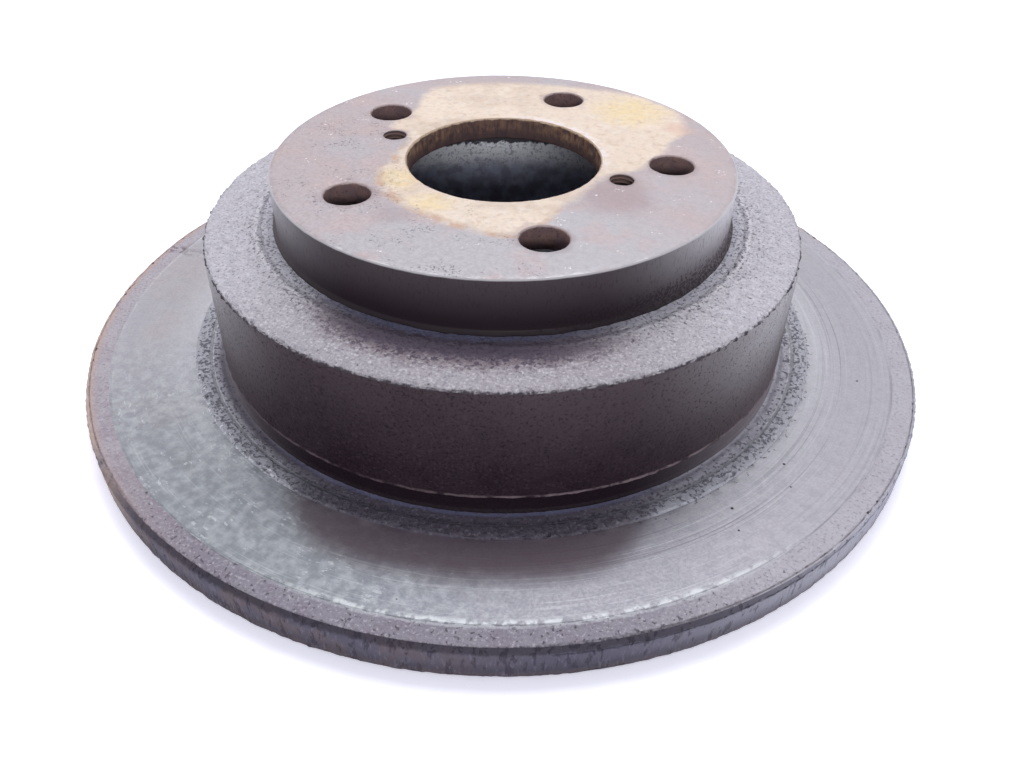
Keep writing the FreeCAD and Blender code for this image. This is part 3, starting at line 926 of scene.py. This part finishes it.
def makeLand():
    # The land inside the track and the relief groove round the foot of the hat
    net, at = startMaterial("speckledLand", landFinish)
    place, radius, direction = at["Place"], at["Radius"], at["Direction"]
    grain = net.use("castGrain", place, 1.0)
    wandering = net.use("ragged", radius, place, 1.8, 0.4)
    drifting = net.use("ragged", radius, net.scaled(place, -1.0), 3.0, 0.4)
    broken = net.use("cloudy", place, 5.0, 0.32, 0.55)
    share = net.add(0.28, (net.band(drifting, 96.6, 1.4, 3.4), 0.2))
    specks = net.use("speckled", place, 0.95, share)
    frontLeft = net.side("front", -40, 24, 20)
    chipShare = net.times(net.band(drifting, 100.2, 0.7, 0.8), frontLeft, 0.45)
    chips = net.use("speckled", net.scaled(place, -1.0), 1.2, chipShare)
    shade = net.use("footShade", place, radius, direction)
    # Painted shade darkens the groove at the left front and lies over the hat's foot in front; painted light
    # lifts the relief's step, and a painted highlight runs along the fillet in the shade
    colour = net.layers(
        "base",
        (net.fit(wandering, 96.2, 95.4), "relief"),
        (grain["Grains"], 0.4, "pale"),
        (specks, 0.66, "speck"),
        (net.band(drifting, 92.6, 0.2, 0.8), broken, 0.4, "speck"),
        (net.fit(wandering, 95.4, 92.4), net.side("front", -56, 12, 18), 0.7, "shade"),
        (chips, "pale"),
        (shade, 0.92, "shade"),
        (grain["Grains"], shade, 0.12, "pale"),
        (net.band(radius, 95.75, 0.3, 0.4), net.blend(shade, 0.75, 0.1), "pale"),
        (net.band(wandering, 91.9, 0.3, 0.7), shade, 0.6, "glow"))
    rough = net.add(0.6, (specks, 0.25))
    metallic = net.times(net.flip(net.either(specks, shade)), 0.25)
    height = net.add(grain["Height"], (specks, -0.9))
    return finishMaterial(net, colour, rough, metallic, height)


wallFinish = {
    "base": "21131e", "grain": "52464c", "hollow": "10080e", "dust": "473c42",
    "sideLow": "5f575b", "side": "cccad0", "bead": "84747a", "foot": "180e17", "sideFoot": "8a828a",
    "specular": 0.16, "depth": 0.3,
}


def makeWall():
    # Cast side of the hat, dark with old rust. Painted shade keeps its front near black, painted light makes
    # the sides away from it pale, and a painted reflection lightens it towards its top; painted shade lies in
    # the undercut at its foot and a painted highlight on the bead
    net, at = startMaterial("castWall", wallFinish)
    place, height = at["Place"], at["Height"]
    grain = net.use("castGrain", place, 0.8)
    cloud = net.use("cloudy", place, 16.0, 0.38, 0.62)
    upper = net.fit(net.use("ragged", height, place, 6.0, 1.2), 17.0, 57.0)
    away = net.flip(net.side("front", -6, 24, 41))
    bead = net.use("ragged", height, place, 1.5, 0.12)
    patchy = net.use("cloudy", place, 4.0, 0.3, 0.6)
    shine = net.add(0.35, (net.side("front", 45, 25, 40), 0.5))
    # Here dust stands for a painted reflection towards the top, side for painted light away from the front,
    # and foot for painted shade in the undercut
    colour = net.layers(
        "base",
        (upper, 0.8, "dust"),
        (net.side("front", 22, 8, 22), upper, 0.3, "sideLow"),
        (away, net.tint(upper, "sideLow", "side")),
        (cloud, 0.14, "grain"),
        (grain["Hollows"], 0.6, "hollow"),
        (grain["Grains"], 0.34, "grain"),
        (net.fit(height, 14.6, 14.2), 0.9, net.tint(away, "foot", "sideFoot")),
        (net.band(bead, 14.95, 0.15, 0.4), patchy, shine, "bead"))
    rough = net.add(0.62, (grain["Hollows"], 0.2))
    return finishMaterial(net, colour, rough, 0.0, grain["Height"])


shoulderFinish = {
    "base": "c6c3ca", "front": "b0abb1", "grain": "e6e3e8", "hollow": "7d7883", "pit": "45404b",
    "shade": "463d4e", "brown": "6d5a62", "foot": "5f6480", "sideFoot": "d2d3dc", "edge": "443d46",
    "specular": 0.25, "depth": 0.4,
}


def makeShoulder():
    # Sandy cast face between the hat's two steps, with a painted shadow of the crown round its foot
    net, at = startMaterial("sandyShoulder", shoulderFinish)
    place, radius, direction = at["Place"], at["Radius"], at["Direction"]
    grain = net.use("castGrain", place, 0.75)
    coarse = net.use("cloudy", place, 2.6, 0.38, 0.64)
    front = net.side("front", -5, 16, 40)
    inner = net.use("ragged", radius, place, 3.0, 0.9)
    path = net.use("roundAxle", direction, radius, 1.0, 9.0)
    smear = net.use("speckled", path, 1.0, 0.5)
    # The painted shadow reaches furthest out at the front
    reach = net.fit(net.side("front", -5, 8, 40), 0.0, 1.0, 71.5, 81.0)
    beyond = net.calc("SUBTRACT", inner, reach)
    near = net.side("front", -9, 4, 37)
    dust = net.use("speckled", place, 1.1, 0.5)
    shade = net.times(net.fit(net.add(beyond, (dust, -3.5)), 0.8, -4.2), near)
    fringe = net.fit(net.add(beyond, (smear, 2.0)), 4.5, -0.5)
    share = net.add(0.2, (net.fit(inner, 84.0, 73.0), 0.22))
    pits = net.use("speckled", place, 0.95, share)
    outer = net.use("ragged", radius, place, 1.2, 0.35)
    # Painted shade darkens the front and the corner at the crown's foot, with a brown fringe round the
    # painted shadow; painted light lifts the foot elsewhere, and a painted highlight runs along the seat's
    # step
    colour = net.layers(
        "base",
        (front, "front"),
        (coarse, 0.22, "hollow"),
        (grain["Hollows"], 0.6, "hollow"),
        (grain["Grains"], 0.55, "grain"),
        (net.fit(inner, 76.0, 71.0), 0.55, "sideFoot"),
        (net.band(inner, 74.0, 0.2, 0.6), 0.4, "hollow"),
        (net.band(inner, 75.2, 0.15, 0.5), 0.4, "grain"),
        (pits, 0.66, "pit"),
        (fringe, near, 0.6, "brown"),
        (shade, 0.85, "shade"),
        (net.band(inner, 71.0, 0.5, 1.2), net.add(0.1, (near, 0.5)), "foot"),
        (net.fit(outer, 89.7, 90.2), "edge"))
    rough = net.add(0.72, (grain["Hollows"], 0.15))
    metallic = net.times(net.flip(net.either(pits, shade)), 0.08)
    height = net.add(grain["Height"], (pits, -0.5))
    return finishMaterial(net, colour, rough, metallic, height)


crownFinish = {
    "base": "20161e", "top": "423a40", "sideLow": "7d757b", "side": "dedce2", "speck": "1f171d",
    "worn": "bdbabe", "specular": 0.2, "depth": 0.05,
}


def makeCrown():
    # Turned side of the crown, smooth, speckled near its foot on one side. Painted shade keeps its front near
    # black and painted light makes the sides away from it pale; a painted reflection lightens it towards its
    # top and painted shade darkens it just above its foot
    net, at = startMaterial("turnedCrown", crownFinish)
    place, height = at["Place"], at["Height"]
    rise = net.use("ragged", height, place, 6.0, 0.6)
    drawn = net.stretched(place, (1, 1, 0.4))
    grain = net.use("castGrain", drawn, 0.7)
    away = net.flip(net.side("front", -7, 25, 53))
    upper = net.fit(rise, 51.5, 66.5)
    low = net.times(net.fit(rise, 60.5, 53.0), net.side("front", 48, 22, 30))
    specks = net.use("speckled", place, 0.8, net.times(low, 0.6))
    # Here top stands for a painted reflection towards the top, side for painted light away from the front,
    # and the darkening just above the foot for painted shade
    colour = net.layers(
        "base",
        (upper, 0.9, "top"),
        (away, net.tint(upper, "sideLow", "side")),
        (grain["Hollows"], 0.35, "speck"),
        (net.fit(height, 51.5, 50.9), 0.45, "speck"),
        (specks, 0.6, "speck"),
        (net.fit(height, 65.5, 65.8), 0.8, "worn"))
    rough = net.add(0.55, (specks, 0.2))
    return finishMaterial(net, colour, rough, 0.0, net.add(grain["Height"], (specks, -0.5)))


wheelFinish = {
    # where the tan stain ends: angle round the axle in degrees, radius in mm
    "stainEdge": [(-180, 31.5), (-170, 31), (-147, 33), (-143, 37), (-112, 40.7), (-80, 44.4),
                  (-63, 47.6), (-51, 42), (-29, 32.8), (-5, 31), (15, 42), (34, 51.4),
                  (46, 62.6), (65, 68), (86, 63), (113, 60.5), (135, 60.7), (153, 47),
                  (169, 43.5), (180, 31.5)],
    "base": "b5a9ab", "cool": "b3b0b5", "pink": "bda9a8", "tan": "d9c5b1", "cream": "eedcc8",
    "milky": "f6ecdf", "yellow": "f2d99f", "flush": "d9ab98", "brown": "9a8487", "rusty": "c39d7e",
    "pit": "5a4a50", "chip": "f2e8e8", "rub": "8c8489", "edge": "cfcccf", "specular": 0.4, "depth": 0.07,
}


def makeWheelFace():
    # Where the wheel sat: grey oxide, with a tan rust stain round the bore
    net, at = startMaterial("wheelFace", wheelFinish)
    place, radius, direction = at["Place"], at["Radius"], at["Direction"]
    parts = net.node("SeparateXYZ", {0: direction}).outputs
    turn = net.calc("ARCTAN2", parts["Y"], parts["X"])
    turn = net.add(net.calc("DIVIDE", turn, 2 * math.pi), 0.5)
    reach = net.curve(turn, [((a + 180) / 360, r / 100) for a, r in wheelFinish["stainEdge"]])
    wandering = net.use("ragged", radius, place, 7.0, 1.3)
    stain = net.fit(net.calc("SUBTRACT", net.times(reach, 100.0), wandering), -2.6, 2.4)

    front = net.side("front", 0, 26, 34)
    pink = net.use("cloudy", net.scaled(place, -1.0), 14.0, 0.46, 0.66)
    cool = net.use("cloudy", place, 22.0, 0.44, 0.62)
    loose = net.use("wobble", place, 7.0, 2.5)
    dirt = net.either(net.times(net.spot(loose, (38.0, -11.0), 4.0, 16.0), 0.55),
                      net.times(net.spot(loose, (-12.0, -45.0), 2.0, 9.0), 0.4))
    colour = net.layers(
        "base",
        (net.either(net.times(cool, 0.6), front), "cool"),
        (pink, 0.6, "pink"),
        (dirt, "brown"))

    cream = net.use("cloudy", place, 16.0, 0.34, 0.62)
    paleSide = net.side("right", 35, 30, 30)
    yellow = net.either(net.spot(loose, (24.0, 50.0), 5.0, 17.0),
                        net.either(net.spot(loose, (-21.0, -26.5), 2.0, 9.0),
                                   net.spot(loose, (-6.0, -37.0), 1.0, 9.0)))
    milky = net.use("cloudy", net.scaled(place, 1.2), 4.5, 0.48, 0.7)
    stainTone = net.layers(
        "tan",
        (net.either(cream, net.times(paleSide, 0.8)), "cream"),
        (yellow, 0.7, "yellow"),
        (milky, 0.35, "milky"),
        (net.use("cloudy", place, 2.6, 0.54, 0.7), 0.3, "rusty"))
    colour = net.tint(net.times(stain, 0.92), colour, stainTone)
    colour = net.tint(net.times(net.spot(loose, (42.0, 42.0), 1.0, 7.0), 0.4), colour, "flush")
    # The stain is browner along its edge on the left
    rusty = net.use("cloudy", place, 5.0, 0.42, 0.6)
    rusty = net.times(rusty, stain, net.flip(stain), net.side("left", 45, 50, 30))
    colour = net.tint(net.times(rusty, 2.8), colour, "rusty")

    # Grain, dark pits and bright chips in the oxide
    fine = net.use("cloudy", place, 0.9, 0.34, 0.66)
    blotch = net.use("cloudy", net.scaled(place, 1.7), 4.0, 0.45, 0.68)
    leftSide = net.side("left", 30, 50, 35)
    pitWhere = net.use("cloudy", place, 9.0, 0.4, 0.62)
    pitShare = net.times(pitWhere, net.add(0.14, (leftSide, 0.22)))
    pits = net.use("speckled", net.scaled(place, -1.3), 0.9, pitShare)
    chipWhere = net.use("cloudy", net.scaled(place, 1.3), 9.0, 0.52, 0.66)
    chips = net.use("speckled", net.scaled(place, 1.1), 1.1, net.times(chipWhere, net.flip(stain), 0.36))
    mouth = net.use("ragged", radius, place, 2.0, 0.6)
    flaked = net.use("cloudy", place, 2.6, 0.42, 0.54)
    mouthChips = net.times(net.fit(mouth, 33.0, 30.4), flaked, net.side("right", 36, 30, 30))
    worn = net.times(net.fit(wandering, 68.2, 68.7), net.add(0.3, (front, 0.4)))
    bare = net.flip(net.times(stain, 0.6))
    colour = net.layers(
        colour,
        (blotch, 0.14, "rub"),
        (fine, bare, net.add(0.12, (leftSide, 0.12)), "rub"),
        (pits, bare, 0.6, "pit"),
        (chips, 0.8, "chip"),
        (mouthChips, 0.7, "chip"))
    for middle, holeRadius in studPlaces + jackPlaces:
        ring = net.spot(loose if holeRadius > 5 else place, middle, holeRadius + 0.2, holeRadius + 2.4)
        colour = net.tint(net.times(ring, 0.3), colour, "brown")
    colour = net.tint(worn, colour, "edge")
    rough = net.add(0.52, (stain, 0.14), (fine, 0.08))
    metallic = net.times(net.flip(net.either(stain, pits)), 0.25)
    height = net.add((fine, 0.4), (blotch, 0.3), (pits, -1.0), (chips, 0.4))
    return finishMaterial(net, colour, rough, metallic, height)


boreFinish = {
    "dark": "4a3b3f", "brown": "745b52", "orange": "a67c59", "pale": "c4a588", "lip": "cdb59d",
    "specular": 0.2, "depth": 0.15,
}


def makeBore():
    # Rusty wall of the centre bore, streaked down
    net, at = startMaterial("rustyBore", boreFinish)
    place, direction, height = at["Place"], at["Direction"], at["Height"]
    path = net.use("roundAxle", direction, height, 4.0, 5.0)
    streak = net.noise(path, 1.0, 5.0, 0.65)
    patch = net.use("cloudy", place, 3.0, 0.44, 0.7)
    ends = net.add(0.25, (net.flip(net.side("back", 5, 22, 30)), 0.75))
    drop = net.use("ragged", height, place, 2.0, 0.35)
    grain = net.use("castGrain", place, 0.7)
    # Painted shade darkens the wall towards the bottom of the bore
    colour = net.layers(
        "dark",
        (net.fit(streak, 0.26, 0.68), "brown"),
        (net.fit(streak, 0.46, 0.7), ends, 0.8, "orange"),
        (patch, ends, 0.4, "pale"),
        (grain["Hollows"], 0.4, "dark"),
        (net.fit(drop, 63.4, 60.2), 0.8, "dark"),
        (net.fit(drop, 65.3, 65.8), 0.8, "lip"))
    rough = net.add(0.75, (patch, 0.12))
    return finishMaterial(net, colour, rough, 0.0, grain["Height"])


holeFinish = {
    "base": "745f62", "dark": "352a30", "brown": "8e7165", "thread": "93796f", "lip": "b9abaa",
    "specular": 0.25, "depth": 0.08,
}


def makeHoles():
    # Walls of the stud holes and the jacking threads, brown, with painted shade deeper down and in the narrow
    # threaded holes
    net, at = startMaterial("brownHoles", holeFinish)
    place, height = at["Place"], at["Height"]
    cloud = net.use("cloudy", place, 3.0, 0.4, 0.65)
    grain = net.use("castGrain", place, 0.8)
    crest = net.node("Attribute", attribute_name="crest").outputs["Fac"]
    drop = net.use("ragged", height, place, 2.0, 0.2)
    jacks = net.either(*[net.spot(place, middle, reach + 0.4, reach + 0.8) for middle, reach in jackPlaces])
    colour = net.layers(
        "base",
        (cloud, 0.55, "brown"),
        (grain["Hollows"], 0.5, "dark"),
        (net.fit(drop, 64.5, 60.0), 0.5, "dark"),
        (jacks, 0.6, "dark"),
        (crest, 0.75, "thread"),
        (net.fit(drop, 65.5, 65.85), 0.75, "lip"))
    rough = net.add(0.62, (cloud, 0.15))
    return finishMaterial(net, colour, rough, 0.1, grain["Height"])


drumFinish = {
    "band": "e6e9f0", "dark": "85889e", "blue": "a3a8bf", "gloom": "3a3539", "bandHeights": (26.4, 33.4),
    "specular": 0.4, "depth": 0.15,
}


def makeDrum():
    # The parking drum inside the hat: a painted pool of light makes a pale band near its far end, under a
    # painted shadow of the bore's edge; dull below
    net, at = startMaterial("drumWall", drumFinish)
    place, direction, height = at["Place"], at["Direction"], at["Height"]
    path = net.use("roundAxle", direction, height, 0.8, 16.0)
    lines = net.use("turnedLines", path)
    patch = net.use("cloudy", place, 5.0, 0.4, 0.62)
    mottle = net.use("speckled", place, 1.8, 0.38)
    fine = net.use("speckled", place, 0.9, 0.36)
    low, high = drumFinish["bandHeights"]
    level = net.use("ragged", height, place, 4.0, 1.7)
    above = net.fit(level, high - 0.4, high + 0.5)
    paintedLitBand = net.times(net.fit(level, low - 4.5, low + 3.0), net.flip(above))
    # The pale band is painted light, mottled by real specks
    clear = net.flip(net.either(net.times(mottle, 0.6), net.times(fine, 0.7)))
    colour = net.layers(
        "dark",
        (patch, "blue"),
        (paintedLitBand, clear, "band"),
        (lines["Dark"], 0.25, "dark"),
        (above, 0.95, "gloom"))
    rough = net.fit(paintedLitBand, 0.0, 1.0, 0.7, 0.5)
    metallic = net.times(paintedLitBand, clear, 0.3)
    height = net.add(lines["Height"], (mottle, -0.5), (fine, -0.4))
    return finishMaterial(net, colour, rough, metallic, height)


insideFinish = {
    "base": "443839", "grain": "675856", "hollow": "241d1f", "grey": "6a6568",
    "specular": 0.25, "depth": 0.25,
}


def makeInside():
    # Cast inside of the hat, and the face that sat on the hub
    net, at = startMaterial("castInside", insideFinish)
    place, radius, direction, height = at["Place"], at["Radius"], at["Direction"], at["Height"]
    grain = net.use("castGrain", place, 1.1)
    patch = net.use("cloudy", place, 9.0, 0.42, 0.6)
    rustTone = net.use("rustColour", place, 4.0)
    path = net.use("roundAxle", direction, radius, 0.5, 30.0)
    lines = net.use("turnedLines", path)
    seated = net.times(net.fit(height, 58.4, 58.8), net.flip(net.times(patch, 0.6)))
    colour = net.layers(
        "base",
        (grain["Hollows"], 0.7, "hollow"),
        (grain["Grains"], 0.6, "grain"),
        (patch, 0.45, rustTone),
        (seated, "grey"),
        (lines["Dark"], seated, 0.5, "hollow"))
    rough = net.fit(seated, 0.0, 1.0, 0.75, 0.5)
    metallic = net.fit(seated, 0.0, 1.0, 0.05, 0.4)
    return finishMaterial(net, colour, rough, metallic, grain["Height"])


backFinish = {
    "track": "a3a1a7", "groove": "6a6870", "lip": "8a7c7c", "grain": "a89c9c", "fleck": "c6c6ca",
    "speck": "3f3839", "specular": 0.4, "depth": 0.08,
}


def makeBack():
    # The inboard face: its own swept track between a rusty land and lip
    net, at = startMaterial("inboardFace", backFinish)
    place, radius, direction = at["Place"], at["Radius"], at["Direction"]
    path = net.use("roundAxle", direction, radius, 0.5, 30.0)
    lines = net.use("turnedLines", path)
    patch = net.use("cloudy", place, 12.0, 0.45, 0.62)
    fine = net.use("cloudy", place, 1.0, 0.36, 0.64)
    grain = net.use("castGrain", place, 1.0)
    specks = net.use("speckled", place, 1.3, 0.3)
    wandering = net.use("ragged", radius, place, 3.0, 0.5)
    unswept = net.either(net.fit(wandering, 125.0, 125.8), net.fit(wandering, 101.0, 100.2))
    rustTone = net.use("rustColour", place, 3.0)
    lipTone = net.layers(
        "lip",
        (grain["Grains"], 0.5, "grain"),
        (patch, 0.45, rustTone),
        (specks, 0.75, "speck"))
    colour = net.layers(
        "track",
        (lines["Dark"], 0.35, "groove"),
        (lines["Light"], 0.3, "fleck"),
        (patch, 0.3, "groove"),
        (fine, 0.2, "groove"),
        (unswept, lipTone))
    rough = net.fit(unswept, 0.0, 1.0, 0.45, 0.75)
    metallic = net.fit(unswept, 0.0, 1.0, 0.4, 0.05)
    height = net.blend(unswept, lines["Height"], grain["Height"])
    return finishMaterial(net, colour, rough, metallic, height)


camera = {
    "lens": 29.81, "sensor": 36.0,
    "aim": (0.0, 0.0, 30.0),   # this point is seen at aimPixel of the frame
    "aimPixel": (503.3, 260.1), "frame": (1024, 768),
    "distance": 277.0,   # from the camera to the aim point, along the view
    "azimuth": 23.1, "elevation": 39.35, "roll": 0.81,
}


def makeCamera():
    spin, tilt, roll = (math.radians(camera[k]) for k in ("azimuth", "elevation", "roll"))
    right = Vector((math.cos(spin), math.sin(spin), 0))
    forward = Vector((-math.sin(spin), math.cos(spin), 0))
    up = forward * math.sin(tilt) + Vector((0, 0, math.cos(tilt)))
    back = right.cross(up)
    right, up = (right * math.cos(roll) + up * math.sin(roll),
                 up * math.cos(roll) - right * math.sin(roll))
    width, height = camera["frame"]
    focal = camera["lens"] / camera["sensor"] * width   # in pixels
    across = (camera["aimPixel"][0] - width / 2) / focal * camera["distance"]
    down = (camera["aimPixel"][1] - height / 2) / focal * camera["distance"]
    place = Vector(camera["aim"]) + back * camera["distance"] - right * across + up * down
    data = bpy.data.cameras.new("photoCamera")
    data.lens = camera["lens"]
    data.sensor_width = camera["sensor"]
    data.clip_start = 0.01
    seen = bpy.data.objects.new("photoCamera", data)
    turned = Matrix((right, up, back)).transposed().to_4x4()
    seen.matrix_world = Matrix.Translation(place * mm) @ turned
    bpy.context.scene.collection.objects.link(seen)
    bpy.context.scene.camera = seen
    print("camera at", [round(c) for c in place], "mm")


floorLook = {"colour": "f6f6f8", "paler": "9696a4", "half": 6.0, "gap": 0.0002}


def makeFloor():
    half = floorLook["half"]
    mesh = bpy.data.meshes.new("floor")
    corners = [(-half, -half, 0), (half, -half, 0), (half, half, 0), (-half, half, 0)]
    mesh.from_pydata(corners, [], [(0, 1, 2, 3)])
    floor = bpy.data.objects.new("floor", mesh)
    floor.location.z = -floorLook["gap"]
    bpy.context.scene.collection.objects.link(floor)
    net, at = startMaterial("paleFloor", floorLook)
    shader = net.tree.nodes["Principled BSDF"]
    net.feed(shader.inputs["Base Color"], "colour")
    net.feed(shader.inputs["Roughness"], 0.9)
    net.feed(shader.inputs["Specular IOR Level"], 0.2)
    # Seen by the camera the floor outside the disc is paler still, and keeps the shadow; the floor under the
    # bore glows as painted light
    paintedLightThroughBore = net.times(net.fit(at["Radius"], 38.0, 26.0), 0.45)
    clear = net.either(net.fit(at["Radius"], 110.0, 130.0), paintedLightThroughBore)
    seen = net.times(net.node("LightPath").outputs["Is Camera Ray"], clear)
    net.feed(shader.inputs["Emission Color"], net.tint(seen, "000000", "paler"))
    net.feed(shader.inputs["Emission Strength"], 1.0)
    mesh.materials.append(net.material)


# Two soft panels, named by where they stand: azimuth in degrees as seen round the
# disc, elevation, distance and size in metres, and power
panels = {
    "backPanel": {"azimuth": 110, "elevation": 64, "distance": 3.0, "size": (1.7, 1.0), "power": 43.0},
    "frontPanel": {"azimuth": -62, "elevation": 22, "distance": 2.0, "size": (0.5, 0.3), "power": 15.0},
}
# The world's light by direction: dim in front, brighter from the sides and behind
fill = {"front": 0.10, "behind": 0.80, "colour": "f2f3ff", "seen": 1.0}


def makeLight():
    for name, panel in panels.items():
        data = bpy.data.lights.new(name, "AREA")
        data.shape = "RECTANGLE"
        data.size, data.size_y = panel["size"]
        data.energy = panel["power"]
        turn, rise = math.radians(panel["azimuth"]), math.radians(panel["elevation"])
        towards = Vector((math.cos(turn) * math.cos(rise), math.sin(turn) * math.cos(rise), math.sin(rise)))
        lamp = bpy.data.objects.new(name, data)
        lamp.location = towards * panel["distance"]
        lamp.rotation_euler = towards.to_track_quat("Z", "Y").to_euler()
        bpy.context.scene.collection.objects.link(lamp)

    # The camera and glossy metal see plain white all round
    world = bpy.data.worlds.new("studio")
    bpy.context.scene.world = world
    world.use_nodes = True
    net = Net(world.node_tree)
    direction = net.node("TexCoord").outputs["Generated"]
    front = net.sector(direction, sides["front"], 20, 80)
    strength = net.blend(front, fill["behind"], fill["front"])
    soft = net.node("Background", {"Color": fill["colour"], "Strength": strength}).outputs[0]
    white = net.node("Background", {"Color": "ffffff", "Strength": fill["seen"]}).outputs[0]
    paths = net.node("LightPath").outputs
    share = net.either(paths["Is Camera Ray"], paths["Is Glossy Ray"])
    mixed = net.node("MixShader", {0: share, 1: soft, 2: white}).outputs[0]
    net.feed(world.node_tree.nodes["World Output"].inputs["Surface"], mixed)
    bpy.context.scene.view_settings.view_transform = "Standard"
    print("lights:", len(panels), "panels and the world")


makeGroups()
materials = {
    "castInside": makeInside(), "drumWall": makeDrum(), "inboardFace": makeBack(),
    "rimScale": makeRim(), "rustedLip": makeLip(), "sweptTrack": makeTrack(),
    "speckledLand": makeLand(), "castWall": makeWall(), "sandyShoulder": makeShoulder(),
    "turnedCrown": makeCrown(), "wheelFace": makeWheelFace(), "rustyBore": makeBore(),
    "rustyHole": makeHoles(),
}
print("materials:", len(materials))
makeCamera()
makeCasting(materials)
makeFloor()
makeLight()
